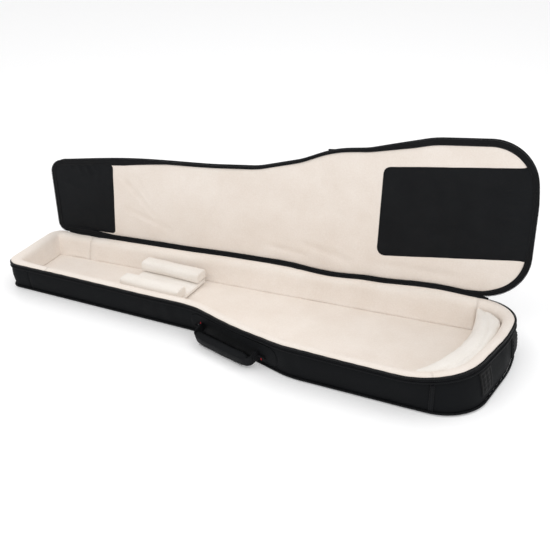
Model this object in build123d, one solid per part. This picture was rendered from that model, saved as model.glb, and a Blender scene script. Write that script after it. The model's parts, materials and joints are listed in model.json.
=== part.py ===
"""Padded gig bag: a soft tray, a hinged padded lid, a neck cradle, a carry handle and its zippers.

Frame: millimetres, +X from the head end to the body end, +Y towards the hinge, +Z up.
The origin is on the underside, below the middle of the bag's length. The lid is stored open.
"""
from build123d import *
import os
from math import atan, atan2, cos, degrees, hypot, sin

# ---------------------------------------------------------------- driving dimensions
LENGTH = 1330.0            # outside length of the rim
NECK_FRONT_Y = -120.0      # front rim beside the neck
BODY_FRONT_Y = -196.0      # front rim beside the body
FLARE_START_X = -80.0      # where the front side starts to widen
FLARE_END_X = 200.0
END_CROWN = 14.0           # how far the body end bulges out at its middle
END_CROWN_Y = 60.0
HINGE_MID_Y = 162.0        # the back rim is straight, so that the lid can turn about it
HINGE_SLOPE = 0.088        # the back rim drifts outwards towards the body end
RIM_HEAD_Z = 76.0          # rim height at the head end and at the body end
RIM_BODY_Z = 96.0
DRAFT = 12.0               # how far the walls lean out between the floor and the rim

CORNER_HEAD_FRONT = 42.0   # plan radii of the rim outline
CORNER_FLARE = 190.0
CORNER_BODY_FRONT = 118.0
CORNER_CROWN = 900.0
CORNER_BODY_BACK = 110.0
CORNER_HEAD_BACK = 56.0

SKIN = 2.4                 # nylon side and bottom panels
WALL_FOAM_OUT = 2.8        # foam walls, measured inwards from the wall's outer face
WALL_FOAM_IN = 22.2
WALL_LINING_OUT = 22.4
WALL_LINING_IN = 28.0
CAP_DEPTH = 8.8            # plush rolled over the top of the foam
FLOOR_FOAM_TOP = 20.0
FLOOR_TOP = 26.0
TAPE_DEPTH = 13.0          # height of the zipper tape below the rim
PIPING_RADIUS = 2.6
BOTTOM_PIPING_Z = 5.0
TAPE_OUT = 0.8             # zipper tape, measured inwards from the wall's outer face
TAPE_IN = 2.2
COIL_OUT = 0.9             # middle of the tray's zipper coil, outside the wall's outer face
COIL_DROP = 2.0
COIL_WIDE = 2.8
COIL_TALL = 2.2
FIT_GAP = 0.3              # gap between pieces that are not sewn face to face
HINGE_RADIUS = 3.0         # the folded strip that the lid turns about

LID_OPEN = 90.0            # stored opening of the lid, measured from closed
LID_INSET = 6.0            # the lid's outline lies this far inside the rim's
LID_THICK = 20.6
LID_TAPER = 5.0            # how far the lid's sides lean in over its thickness
LID_BAND = 13.0            # width of the flat zipper tape that frames the lining
LID_LINING_FACE = 2.4
LID_LINING_BACK = 6.2
LID_PIPING_Z = 18.4
POCKET_BASE = 20.9

SEAM_X = 538.0             # side seam between the long front panel and the body-end panel
HEAD_SEAM_X = -612.0
LINING_SEAM_X = -550.0
ZIP_END_HEAD_X = -560.0    # where the zipper stops and the hinge strip starts
ZIP_END_BODY_X = 528.0

rim_mid_z = (RIM_HEAD_Z + RIM_BODY_Z) / 2
rim_tilt = (RIM_BODY_Z - RIM_HEAD_Z) / LENGTH
HALF = LENGTH / 2
FULL_SPAN = 1700.0         # larger than the bag, for cutting slabs

CORNERS = [
    (-HALF, NECK_FRONT_Y, CORNER_HEAD_FRONT),
    (FLARE_START_X, NECK_FRONT_Y, CORNER_FLARE),
    (FLARE_END_X, BODY_FRONT_Y, CORNER_FLARE),
    (HALF - END_CROWN, BODY_FRONT_Y, CORNER_BODY_FRONT),
    (HALF, END_CROWN_Y, CORNER_CROWN),
    (HALF - END_CROWN / 2, HINGE_MID_Y + HINGE_SLOPE * HALF, CORNER_BODY_BACK),
    (-HALF, HINGE_MID_Y - HINGE_SLOPE * HALF, CORNER_HEAD_BACK),
]
FLARE_EDGE = 1
HINGE_EDGE = 5


# ---------------------------------------------------------------- plan outline
def inset_corners(inset, hinge_inset=None):
    """Corner points and radii of the rim outline, moved inwards by inset on every side."""
    lines = []
    count = len(CORNERS)
    for i in range(count):
        x0, y0, _ = CORNERS[i]
        x1, y1, _ = CORNERS[(i + 1) % count]
        run = hypot(x1 - x0, y1 - y0)
        dx, dy = (x1 - x0) / run, (y1 - y0) / run
        step = hinge_inset if i == HINGE_EDGE and hinge_inset is not None else inset
        lines.append((x0 - dy * step, y0 + dx * step, dx, dy))
    corners = []
    for i in range(count):
        ax, ay, adx, ady = lines[i - 1]
        bx, by, bdx, bdy = lines[i]
        turn = adx * bdy - ady * bdx
        along = ((bx - ax) * bdy - (by - ay) * bdx) / turn
        radius = CORNERS[i][2] - inset if turn > 0 else CORNERS[i][2] + inset
        corners.append((ax + adx * along, ay + ady * along, radius))
    return corners


def outline(inset, hinge_inset=None):
    """Closed outline of the bag in plan, as a wire of lines and arcs."""
    corners = inset_corners(inset, hinge_inset)
    points = [(x, y) for x, y, _ in corners]
    radii = [radius for _, _, radius in corners]
    return Wire(FilletPolyline(*points, radius=radii, close=True).edges())


def hinge_y(x, inset=0.0):
    """Y of the straight back rim at x, moved inwards by inset."""
    return HINGE_MID_Y + HINGE_SLOPE * x - inset * hypot(1, HINGE_SLOPE)


def open_path(inset, hinge_inset):
    """The zippered part of the outline: from the body end of the hinge round to its head end."""
    corners = inset_corners(inset, hinge_inset)
    loop = corners[HINGE_EDGE::-1] + corners[:HINGE_EDGE:-1]
    points = [(ZIP_END_BODY_X, hinge_y(ZIP_END_BODY_X, hinge_inset))]
    points += [(x, y) for x, y, _ in loop]
    points += [(ZIP_END_HEAD_X, hinge_y(ZIP_END_HEAD_X, hinge_inset))]
    return Wire(FilletPolyline(*points, radius=[radius for _, _, radius in loop]).edges())


# ---------------------------------------------------------------- levels and walls
def level(fraction, offset=0.0):
    """A plane that lies on the floor at fraction 0 and in the sloping rim at fraction 1."""
    tilt = atan(rim_tilt * fraction)
    return Plane(
        origin=(0, 0, fraction * rim_mid_z + offset),
        x_dir=(cos(tilt), 0, sin(tilt)),
        z_dir=(-sin(tilt), 0, cos(tilt)),
    )


def loft_between(lower, upper):
    return Solid.make_loft([lower, upper], ruled=True)


def tray_block(inset):
    """Solid block with the tray's leaning sides, inset from its outer face."""
    return loft_between(level(0) * outline(inset + DRAFT), level(1) * outline(inset))


def slab(low, high):
    """Everything between two levels, each given as (fraction, offset)."""
    frame = Wire(Rectangle(FULL_SPAN, FULL_SPAN).edges())
    return loft_between(level(*low) * frame, level(*high) * frame)


def wall(outer, inner, low, high):
    """Ring of wall between two insets and two levels."""
    return (tray_block(outer) - tray_block(inner)) & slab(low, high)


def plan_box(x_low, x_high, y_low, y_high):
    """A tall box over a rectangle of the plan."""
    block = Box(x_high - x_low, y_high - y_low, FULL_SPAN)
    return Pos((x_low + x_high) / 2, (y_low + y_high) / 2, 0) * block


def hinge_zone(margin=0.0):
    """A tall box around the hinge stretch of the back wall."""
    middle = (ZIP_END_HEAD_X + ZIP_END_BODY_X) / 2
    span = (ZIP_END_BODY_X - ZIP_END_HEAD_X) * hypot(1, HINGE_SLOPE) + 2 * margin
    turned = Rot(0, 0, degrees(atan(HINGE_SLOPE))) * Box(span, 90, FULL_SPAN)
    return Pos(middle, hinge_y(middle), 0) * turned


FAR = FULL_SPAN / 2
BODY_END = plan_box(SEAM_X, FAR, -FAR, FAR)
HEAD_END = plan_box(-FAR, HEAD_SEAM_X, -FAR, FAR)
FRONT = plan_box(HEAD_SEAM_X, SEAM_X, -FAR, 0)
BACK = plan_box(HEAD_SEAM_X, SEAM_X, 0, FAR)


def round_sweep(path, radius):
    """A round cord swept along a planar path of lines and tangent arcs."""
    start = Plane(origin=path @ 0, z_dir=path % 0)
    return sweep(start * Circle(radius), path=path)


def strip_sweep(path, up, wide, tall):
    """A rectangular strip swept along a planar path, wide across it and tall along up."""
    start = Plane(origin=path @ 0, x_dir=up, z_dir=path % 0)
    return sweep(start * Rectangle(tall, wide), path=path)


# ---------------------------------------------------------------- tray
def make_bottom_panel():
    return tray_block(0) & slab((0, 0), (0, SKIN))


def make_side_panels():
    """Four nylon side panels, sewn to each other at vertical seams."""
    skin = wall(0, SKIN, (0, SKIN + 0.1), (1, -TAPE_DEPTH))
    seam = 0.15
    return {
        "side_panel_front": skin & plan_box(HEAD_SEAM_X + seam, SEAM_X - seam, -FAR, 0),
        "side_panel_back": skin & plan_box(HEAD_SEAM_X + seam, SEAM_X - seam, 0, FAR),
        "side_panel_body_end": skin & BODY_END,
        "side_panel_head_end": skin & HEAD_END,
    }


def make_wall_foams():
    """Foam strips that stand inside the side panels."""
    ring = wall(WALL_FOAM_OUT, WALL_FOAM_IN, (0, SKIN + 0.4), (1, -CAP_DEPTH - 0.4))
    flare_low = FLARE_START_X + 20
    flare_high = FLARE_END_X + 10
    seam = 0.2
    return {
        "foam_front_neck": ring & plan_box(HEAD_SEAM_X + seam, flare_low - seam, -FAR, 0),
        "foam_front_flare": ring & plan_box(flare_low + seam, flare_high - seam, -FAR, 0),
        "foam_front_body": ring & plan_box(flare_high + seam, SEAM_X - seam, -FAR, 0),
        "foam_back": ring & plan_box(HEAD_SEAM_X + seam, SEAM_X - seam, 0, FAR),
        "foam_body_end": ring & BODY_END,
        "foam_head_end": ring & HEAD_END,
    }


def make_floor():
    foam = tray_block(WALL_LINING_OUT + 0.2) & slab((0, SKIN + 0.4), (0, FLOOR_FOAM_TOP))
    plush = tray_block(WALL_LINING_IN + 0.2) & slab((0, FLOOR_FOAM_TOP + 0.2), (0, FLOOR_TOP))
    return {"floor_foam": foam, "floor_lining": plush}


def make_wall_linings():
    """Plush wall lining, rolled outwards over the top of the foam up to the zipper tape."""
    lower = (0, FLOOR_FOAM_TOP + 0.2)
    face = wall(WALL_LINING_OUT, WALL_LINING_IN, lower, (1, -CAP_DEPTH))
    cap = wall(WALL_FOAM_OUT, WALL_LINING_IN, (1, -CAP_DEPTH), (1, -0.4))
    lining = (face + cap).clean()
    seam = 0.15
    x_low, x_high = LINING_SEAM_X + seam, SEAM_X - seam
    return {
        "lining_front": lining & plan_box(x_low, x_high, -FAR, 0),
        "lining_back": lining & plan_box(x_low, x_high, 0, FAR),
        "lining_body_end": lining & BODY_END,
        "lining_head_end": lining & plan_box(-FAR, LINING_SEAM_X, -FAR, FAR),
    }


END_PAD_FRONT = (500.0, -150.0)      # inner face of the body-end pad, in plan
END_PAD_MIDDLE = (561.0, 50.0)
END_PAD_BACK = (548.0, 205.0)
END_PAD_DROP = 6.0


def make_body_end_pad():
    """Thick plush pad that fills the body end behind a curved inner face."""
    arc = ThreePointArc(END_PAD_FRONT, END_PAD_MIDDLE, END_PAD_BACK)
    corner_back = (END_PAD_BACK[0], FAR)
    corner_front = (END_PAD_FRONT[0], -FAR)
    side = Polyline(END_PAD_BACK, corner_back, (FAR, FAR), (FAR, -FAR), corner_front, END_PAD_FRONT)
    region = extrude(make_face([arc, side]), FULL_SPAN)
    block = tray_block(WALL_LINING_IN + FIT_GAP)
    return block & slab((0, FLOOR_TOP + FIT_GAP), (1, -END_PAD_DROP)) & region


def make_bottom_piping():
    inset = DRAFT * (1 - BOTTOM_PIPING_Z / rim_mid_z) - PIPING_RADIUS - FIT_GAP
    return round_sweep(level(0, BOTTOM_PIPING_Z) * outline(inset), PIPING_RADIUS)


def make_rim_piping():
    inset = DRAFT * TAPE_DEPTH / rim_mid_z - PIPING_RADIUS - 2 * FIT_GAP
    return round_sweep(level(1, -TAPE_DEPTH) * open_path(inset, inset), PIPING_RADIUS)


def make_zip_tape():
    ring = wall(TAPE_OUT, TAPE_IN, (1, -TAPE_DEPTH + 0.1), (1, -1.2))
    return ring - hinge_zone()


def make_hinge_gusset():
    """Strip that closes the top of the back wall under the hinge fold."""
    ring = wall(TAPE_OUT, TAPE_IN, (1, -TAPE_DEPTH + 0.1), (1, -1.2))
    return ring & hinge_zone(-FIT_GAP)


def make_zip_teeth():
    path = level(1, -COIL_DROP) * open_path(-COIL_OUT, -COIL_OUT)
    return strip_sweep(path, level(1).z_dir, COIL_TALL, COIL_WIDE)


hinge_direction = Vector(1, HINGE_SLOPE, rim_tilt).normalized()
hinge_outset = HINGE_RADIUS + FIT_GAP


def hinge_point(x):
    """Point of the hinge axis at x: just outside the back rim, in the rim's plane."""
    return level(1).from_local_coords(Vector(x, hinge_y(x, -hinge_outset), 0))


def make_hinge_fold():
    """Folded nylon strip that ties the lid's back edge to the back wall."""
    start = hinge_point(ZIP_END_HEAD_X + 2)
    length = (hinge_point(ZIP_END_BODY_X - 2) - start).length
    return Plane(origin=start, z_dir=hinge_direction) * extrude(Circle(HINGE_RADIUS), length)


END_TAB = (16.0, 1.8, 6.0)
END_TAB_OUT = 1.2
END_TAB_DROP = 6.9


def make_zip_end_tab(x):
    """Folded tab that covers the end of the zipper on the outside of the back wall."""
    place = level(1, -END_TAB_DROP) * Pos(x, hinge_y(x, -END_TAB_OUT), 0)
    return place * Rot(0, 0, degrees(atan(HINGE_SLOPE))) * Box(*END_TAB)


TRIM_LOW = 9.0             # pieces sewn on the outside stop clear of both lines of piping
TRIM_DROP = TAPE_DEPTH + 3.4
SEAM_STRIP_WIDE = 14.0


def make_corner_seam_strip():
    """Vertical webbing strip sewn over the front seam of the body-end panel."""
    ring = wall(-1.5, -0.1, (0, TRIM_LOW), (1, -TRIM_DROP))
    half_wide = SEAM_STRIP_WIDE / 2
    return ring & plan_box(SEAM_X - half_wide, SEAM_X + half_wide, -FAR, 0)


BUMPER_WIDTH = 48.0
BUMPER_LOW = 14.0
BUMPER_DROP = 19.0
BUMPER_RIBS = 5
BUMPER_RIB_TALL = 6.0
BUMPER_MARGIN = 8.0
BUMPER_Y = {"bumper_front": -60.0, "bumper_back": 103.0}


def make_bumpers():
    """Ribbed rubber bumpers on the body end, where the bag stands when it is upright."""
    pads = {}
    for name, y in BUMPER_Y.items():
        low, high = y - BUMPER_WIDTH / 2, y + BUMPER_WIDTH / 2
        plate = wall(-3.0, -0.1, (0, BUMPER_LOW), (1, -BUMPER_DROP)) & plan_box(SEAM_X, FAR, low, high)
        pitch = (RIM_BODY_Z - BUMPER_LOW - BUMPER_DROP) / (BUMPER_RIBS + 1)
        field = plan_box(SEAM_X, FAR, low + BUMPER_MARGIN, high - BUMPER_MARGIN)
        for rib in range(BUMPER_RIBS):
            rib_low = BUMPER_LOW + pitch * (rib + 1) - BUMPER_RIB_TALL / 2
            plate = plate + (wall(-5.6, -2.9, (0, rib_low), (0, rib_low + BUMPER_RIB_TALL)) & field)
        pads[name] = plate
    return pads


# ---------------------------------------------------------------- carry handle
HANDLE_Z = 31.0            # height of the handle's pivots
HANDLE_SHIFT = -34.0       # from the middle of the flare towards the head
HANDLE_HALF = 93.0         # half the distance between the pivots
HANDLE_BEND = 16.0
HANDLE_PIVOT_OUT = 17.0    # pivots stand this far out from the wall
HANDLE_REACH = 46.0        # middle of the grip from the wall
HANDLE_DROOP = 20.0
WEB = 2.4
WEB_WIDE = 26.0
TAB_LONG = 23.0
TAB_OUT = 6.6              # middle of the webbing tab from the wall
GRIP_LONG = 150.0
GRIP_THICK = 11.0
GRIP_WIDE = 31.0
RIVET_SHIFT = 14.0         # rivets beyond the pivots, along the wall
RIVET_RADIUS = 4.2
PATCH_MARGIN = 23.0        # reinforcing panel beyond the pivots

flare_x0, flare_y0, _ = inset_corners(DRAFT * (1 - HANDLE_Z / rim_mid_z))[FLARE_EDGE]
flare_x1, flare_y1, _ = inset_corners(DRAFT * (1 - HANDLE_Z / rim_mid_z))[FLARE_EDGE + 1]
flare_turn = degrees(atan2(flare_y1 - flare_y0, flare_x1 - flare_x0))
flare_middle = Pos((flare_x0 + flare_x1) / 2, (flare_y0 + flare_y1) / 2, HANDLE_Z)
handle_base = flare_middle * Rot(0, 0, flare_turn) * Pos(HANDLE_SHIFT, 0, 0)
# in the handle's frame +X runs along the wall, -Y points away from it


def make_handle_patch():
    """Reinforcing panel sewn to the wall behind the handle."""
    ring = wall(-1.6, -0.1, (0, TRIM_LOW), (1, -TRIM_DROP))
    span = Box(2 * (HANDLE_HALF + PATCH_MARGIN), 120, FULL_SPAN)
    return ring & (handle_base * span)


def make_handle_anchor(side):
    """Webbing tab: flat on the wall at one end, with a rounded ear that the handle turns on."""
    ear_x = side * (HANDLE_HALF + WEB / 2 + FIT_GAP / 2)
    flat = Pos(side * (HANDLE_HALF + TAB_LONG / 2), -TAB_OUT, 0) * Box(TAB_LONG, WEB, WEB_WIDE)
    ear_long = HANDLE_PIVOT_OUT + WEB_WIDE / 2 - TAB_OUT + WEB / 2
    ear = Pos(ear_x, -TAB_OUT + WEB / 2 - ear_long / 2, 0) * Box(WEB, ear_long, WEB_WIDE)
    tip = ear.edges().filter_by(Axis.X).group_by(Axis.Y)[0]
    ear = fillet(tip, WEB_WIDE / 2 - 0.2)
    return handle_base * (flat + ear)


def make_rivet(side):
    """Domed rivet through the flat of the webbing tab."""
    thick = 1.6
    cap = Cone(RIVET_RADIUS, 2.6, 1.2, align=(Align.CENTER, Align.CENTER, Align.MIN))
    dome = Cylinder(RIVET_RADIUS, thick) + Pos(0, 0, thick / 2) * cap
    place = Pos(side * (HANDLE_HALF + RIVET_SHIFT), -TAB_OUT - WEB / 2 - thick / 2, 0)
    return handle_base * place * Rot(90, 0, 0) * dome


def make_bartack(side):
    """Small red stitched tab beside the rivet."""
    thick = 0.9
    place = Pos(side * (HANDLE_HALF + RIVET_SHIFT), -TAB_OUT - (WEB + thick) / 2, 9.2)
    return handle_base * place * Box(11, thick, 4.6)


def handle_swing():
    """Place of the handle's own frame: its origin is on the pivot line and it droops."""
    return handle_base * Pos(0, -HANDLE_PIVOT_OUT, 0) * Rot(HANDLE_DROOP, 0, 0)


def make_handle_webbing():
    """One webbing loop from ear to ear, on edge, with rounded ends at the pivots."""
    side_x = HANDLE_HALF - WEB / 2 - FIT_GAP / 2
    back = WEB_WIDE / 2
    reach = HANDLE_REACH - HANDLE_PIVOT_OUT
    corners = [(-side_x, back), (-side_x, -reach), (side_x, -reach), (side_x, back)]
    path = FilletPolyline(*corners, radius=HANDLE_BEND)
    start = Plane(origin=path @ 0, x_dir=(0, 0, 1), z_dir=path % 0)
    loop = sweep(start * Rectangle(WEB_WIDE, WEB), path=path)
    ends = loop.edges().filter_by(Axis.X).group_by(Axis.Y)[-1]
    return handle_swing() * fillet(ends, WEB_WIDE / 2 - 0.2)


def make_handle_grip():
    """Padded sleeve round the middle of the webbing."""
    section = Rot(0, 90, 0) * RectangleRounded(GRIP_WIDE, GRIP_THICK, GRIP_THICK * 0.46)
    sleeve = Pos(-GRIP_LONG / 2, 0, 0) * extrude(section, GRIP_LONG)
    slot = Box(GRIP_LONG + 2, WEB + 0.2, WEB_WIDE + 0.2)
    reach = HANDLE_REACH - HANDLE_PIVOT_OUT
    return handle_swing() * Pos(0, -reach, 0) * (sleeve - slot)


# ---------------------------------------------------------------- neck cradle
CRADLE_X = -266.0
CRADLE_Y = 13.0
CRADLE_LONG = 184.0
CRADLE_WIDE = 154.0
CHANNEL_WIDE = 56.0
CRADLE_FLOOR = 14.0
CRADLE_ROUND = 12.0
HOOK_STRIP = (140.0, 50.0, 1.4)
CRADLE_EAR_TOP = 74.0      # height of the ears above the floor on which the bag lies


def make_cradle():
    """Loose plush block with two ears that hold the neck, on a hook-and-loop strip."""
    place = Pos(CRADLE_X, CRADLE_Y, 0)
    strip_low = FLOOR_TOP + FIT_GAP
    base_low = strip_low + HOOK_STRIP[2] + 0.2
    strip = place * Pos(0, 0, strip_low + HOOK_STRIP[2] / 2) * Box(*HOOK_STRIP)
    base = place * Pos(0, 0, base_low + CRADLE_FLOOR / 2) * Box(CRADLE_LONG, CRADLE_WIDE, CRADLE_FLOOR)
    ear_wide = (CRADLE_WIDE - CHANNEL_WIDE) / 2
    ear_low = base_low + CRADLE_FLOOR + 0.1
    ears = {}
    for name, side in (("cradle_ear_front", -1), ("cradle_ear_back", 1)):
        block = Box(CRADLE_LONG, ear_wide, CRADLE_EAR_TOP - ear_low)
        block = fillet(block.edges().filter_by(Axis.X).group_by(Axis.Z)[-1], CRADLE_ROUND)
        spot = Pos(0, side * (CHANNEL_WIDE + ear_wide) / 2, (CRADLE_EAR_TOP + ear_low) / 2)
        ears[name] = place * spot * block
    return {"cradle_base": base, "cradle_hook_strip": strip, **ears}


# ---------------------------------------------------------------- main zipper sliders
SLIDER_HEAD_X = -578.0
SLIDER_BODY_X = 544.0


SLIDER = (13.0, 3.0, 7.2)
SLIDER_DROP = 5.8
SLIDER_OUT = 3.9
PIN_RADIUS = 1.1
PIN_DROP = 1.2
PULL = (8.0, 1.5, 30.0)
PULL_OUT = 2.6
PULL_HOLE = 1.5


def slider_place(x):
    """A frame on the outside of the back rim: +X along the hinge, +Y outwards, +Z up."""
    turn = Rot(0, 0, degrees(atan(HINGE_SLOPE)))
    return level(1, -SLIDER_DROP) * Pos(x, hinge_y(x, -SLIDER_OUT), 0) * turn


def make_slider(place):
    """Zipper slider: a short wedge with a bridge that holds the pull's pin."""
    body = Box(*SLIDER)
    body = fillet(body.edges().filter_by(Axis.Y), 2.4)
    pin = Pos(0, 1.9, -PIN_DROP) * Rot(90, 0, 0) * Cylinder(PIN_RADIUS, 3.2)
    return place * (body + pin)


def make_pull(place):
    """Pull that hangs from the slider's pin, flat against the bag."""
    tab = Box(*PULL)
    tab = fillet(tab.edges().filter_by(Axis.Y), 2.6)
    hole_z = PULL[2] / 2 - 4
    hole = Pos(0, 0, hole_z) * Rot(90, 0, 0) * Cylinder(PULL_HOLE, 4)
    slot = Pos(0, 0, -6) * Box(3, 3, 9)
    return place * Pos(0, PULL_OUT, -PIN_DROP - hole_z) * (tab - hole - slot)


# ---------------------------------------------------------------- lid
def lid_inset(height):
    """Inset of the lid's side at a height above the rim's plane."""
    return LID_INSET + LID_TAPER * height / LID_THICK


def lid_block(inset, low, high):
    """Solid slice of the closed lid between two heights above the rim's plane."""
    def section(height):
        return level(1, height) * outline(lid_inset(height) + inset, inset)
    return loft_between(section(low), section(high))


def open_lid(shape):
    """Turn a piece of the closed lid about the hinge axis to where it is stored."""
    axis = Axis(hinge_point(0), hinge_direction.reverse())
    return shape.rotate(axis, LID_OPEN)


def make_lid_shell():
    gusset = lid_block(0, 2.2, 17.9) - lid_block(SKIN, 2.0, 18.0)
    panel = lid_block(0, 18.0, LID_THICK)
    clear = PIPING_RADIUS + 2 * FIT_GAP
    path = level(1, LID_PIPING_Z) * outline(lid_inset(LID_PIPING_Z) - clear, -clear)
    return {"lid_gusset": gusset, "lid_outer_panel": panel, "lid_piping": round_sweep(path, PIPING_RADIUS)}


def make_lid_padding():
    foam = lid_block(SKIN + 0.3, LID_LINING_BACK + 0.2, 17.7)
    face = lid_block(SKIN + 0.3, LID_LINING_FACE, LID_LINING_BACK)
    return {"lid_foam": foam, "lid_lining": face}


def make_lid_zipper():
    tape = lid_block(0.3, 0.6, 2.1) - lid_block(LID_BAND, 0.5, 2.2)
    out = 1.5
    teeth_path = level(1, out) * open_path(lid_inset(out) - out, -out)
    teeth = strip_sweep(teeth_path, level(1).z_dir, 1.8, 2.4)
    return {"lid_zip_tape": tape, "lid_zip_teeth": teeth}


HEAD_PATCH_END_X = -478.0
BRIDGE_PATCH = (284.0, 641.0)        # where the bridge patch lies along the lid
PATCH_RADIUS = 20.0
BRIDGE_FRONT_Y = -128.0
BRIDGE_BACK_Y = 112.0


def make_patches():
    """Woven panels over the plush lining that take the wear of the head and of the bridge."""
    layer = lid_block(LID_BAND + 0.8, 0.8, LID_LINING_FACE - 0.1)
    head = layer & plan_box(-FAR, HEAD_PATCH_END_X, -FAR, FAR)
    low, high = BRIDGE_PATCH
    shape = RectangleRounded(high - low, BRIDGE_BACK_Y - BRIDGE_FRONT_Y, PATCH_RADIUS)
    middle = Pos((low + high) / 2, (BRIDGE_BACK_Y + BRIDGE_FRONT_Y) / 2, 0)
    bridge = layer & (middle * extrude(shape, FULL_SPAN))
    return {"headstock_patch": head, "bridge_patch": bridge}


POCKETS = {
    # name: low x, high x, thickness, zipper x, zipper half length
    "body_pocket": (112.0, 632.0, 19.0, 168.0, 140.0),
    "head_pocket": (-636.0, -402.0, 15.0, -448.0, 82.0),
}
POCKET_INSET = 26.0
POCKET_RADIUS = 24.0
POCKET_TAPER = 12.0
POCKET_TAPE_WIDE = 26.0
POCKET_COIL_WIDE = 5.5


def pocket_middle_y(x):
    """Y halfway between the front rim and the back rim at x."""
    front = NECK_FRONT_Y if x < 0 else BODY_FRONT_Y
    return (front + hinge_y(x)) / 2


def make_pockets():
    """Closed accessory pockets on the outside of the lid, each with a straight zipper."""
    parts = {}
    for name, (low, high, thick, zip_x, half) in POCKETS.items():
        plan = Face(outline(POCKET_INSET + LID_INSET + LID_TAPER))
        plan = plan & plan_box(low, high, -FAR, FAR)
        sharp = [v for v in plan.vertices() if min(abs(v.X - low), abs(v.X - high)) < 0.01]
        plan = fillet(sharp, POCKET_RADIUS)
        pad = level(1, POCKET_BASE) * extrude(plan, thick, taper=POCKET_TAPER)
        top = POCKET_BASE + thick
        middle = pocket_middle_y(zip_x)
        tape = level(1, top + 0.7) * Pos(zip_x, middle, 0) * Box(POCKET_TAPE_WIDE, 2 * half, 1.2)
        teeth = level(1, top + 1.9) * Pos(zip_x, middle, 0) * Box(POCKET_COIL_WIDE, 2 * half - 14, 1.4)
        place = level(1, top + 4.6) * Pos(zip_x, middle - half + 20, 0) * Rot(90, 0, 0)
        parts[name] = pad
        parts[name + "_zip"] = tape + teeth
        parts[name + "_slider"] = make_slider(place)
        parts[name + "_pull"] = make_pull(place)
    return parts


# ---------------------------------------------------------------- every piece
def tray_parts():
    parts = {"bottom_panel": make_bottom_panel()}
    parts.update(make_side_panels())
    parts.update(make_wall_foams())
    parts.update(make_floor())
    parts.update(make_wall_linings())
    parts["body_end_pad"] = make_body_end_pad()
    parts["bottom_piping"] = make_bottom_piping()
    parts["rim_piping"] = make_rim_piping()
    parts["zip_tape"] = make_zip_tape()
    parts["zip_teeth"] = make_zip_teeth()
    parts["hinge_gusset"] = make_hinge_gusset()
    parts["hinge_fold"] = make_hinge_fold()
    parts["zip_end_tabs"] = Compound([make_zip_end_tab(x) for x in (ZIP_END_HEAD_X, ZIP_END_BODY_X)])
    parts["corner_seam_strip"] = make_corner_seam_strip()
    parts.update(make_bumpers())
    return parts


def handle_parts():
    parts = {"handle_patch": make_handle_patch()}
    parts["handle_anchor_head"] = make_handle_anchor(-1)
    parts["handle_anchor_body"] = make_handle_anchor(1)
    parts["rivets"] = Compound([make_rivet(side) for side in (-1, 1)])
    parts["bartacks"] = Compound([make_bartack(side) for side in (-1, 1)])
    parts["handle_webbing"] = make_handle_webbing()
    parts["handle_grip"] = make_handle_grip()
    return parts


def slider_parts():
    parts = {}
    for name, x in (("head", SLIDER_HEAD_X), ("body", SLIDER_BODY_X)):
        parts["slider_" + name] = make_slider(slider_place(x))
        parts["pull_" + name] = make_pull(slider_place(x))
    return parts


def lid_parts():
    parts = {}
    for group in (make_lid_shell(), make_lid_padding(), make_lid_zipper(), make_patches(), make_pockets()):
        parts.update(group)
    return {name: open_lid(shape) for name, shape in parts.items()}


os.makedirs("parts", exist_ok=True)
for group in (tray_parts(), handle_parts(), make_cradle(), slider_parts(), lid_parts()):
    for name, shape in group.items():
        export_step(shape, "parts/" + name + ".step")
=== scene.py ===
import json
import math

import bpy
import numpy as np
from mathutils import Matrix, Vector, noise


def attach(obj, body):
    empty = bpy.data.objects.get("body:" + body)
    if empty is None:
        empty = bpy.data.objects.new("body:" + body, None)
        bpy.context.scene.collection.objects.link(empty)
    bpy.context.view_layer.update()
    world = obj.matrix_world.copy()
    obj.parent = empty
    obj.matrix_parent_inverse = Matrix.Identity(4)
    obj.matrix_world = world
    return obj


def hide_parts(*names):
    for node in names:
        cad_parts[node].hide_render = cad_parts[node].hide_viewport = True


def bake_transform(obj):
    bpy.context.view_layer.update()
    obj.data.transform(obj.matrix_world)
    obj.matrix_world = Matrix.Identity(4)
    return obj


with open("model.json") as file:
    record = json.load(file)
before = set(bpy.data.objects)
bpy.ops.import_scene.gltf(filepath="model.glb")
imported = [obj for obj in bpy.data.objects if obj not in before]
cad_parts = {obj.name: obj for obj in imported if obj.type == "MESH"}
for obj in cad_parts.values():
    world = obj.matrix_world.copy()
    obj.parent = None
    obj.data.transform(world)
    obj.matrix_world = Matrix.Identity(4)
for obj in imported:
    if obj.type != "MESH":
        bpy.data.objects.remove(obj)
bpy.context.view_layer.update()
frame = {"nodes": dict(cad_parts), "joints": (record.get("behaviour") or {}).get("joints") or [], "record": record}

NODES = frame["nodes"]
JOINTS = {j["name"]: j for j in frame["joints"]}
MM = 0.001

# ---------------------------------------------------------------- dimensions, in millimetres
HALF = 665.0
RIM_HEAD_Z, RIM_BODY_Z = 76.0, 96.0
RIM_MID = (RIM_HEAD_Z + RIM_BODY_Z) / 2
TILT = (RIM_BODY_Z - RIM_HEAD_Z) / (2 * HALF)
HINGE_MID_Y, HINGE_SLOPE = 162.0, 0.088
DRAFT = 12.0
FLOOR_TOP = 26.0
LID_INSET, LID_TAPER, LID_THICK = 6.0, 5.0, 20.6
LID_BAND = 13.0
SEAM_X, HEAD_SEAM_X, LINING_SEAM_X = 538.0, -612.0, -550.0
ZIP_END_HEAD_X, ZIP_END_BODY_X = -560.0, 528.0
LID_OPEN = math.radians(90.0)
STEP = 7.0
SHELL_TOP = 0.853  # where the wall fabric ends, as a share of its height

BACK_BODY = HINGE_MID_Y + HINGE_SLOPE * HALF
BACK_HEAD = HINGE_MID_Y - HINGE_SLOPE * HALF

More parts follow.
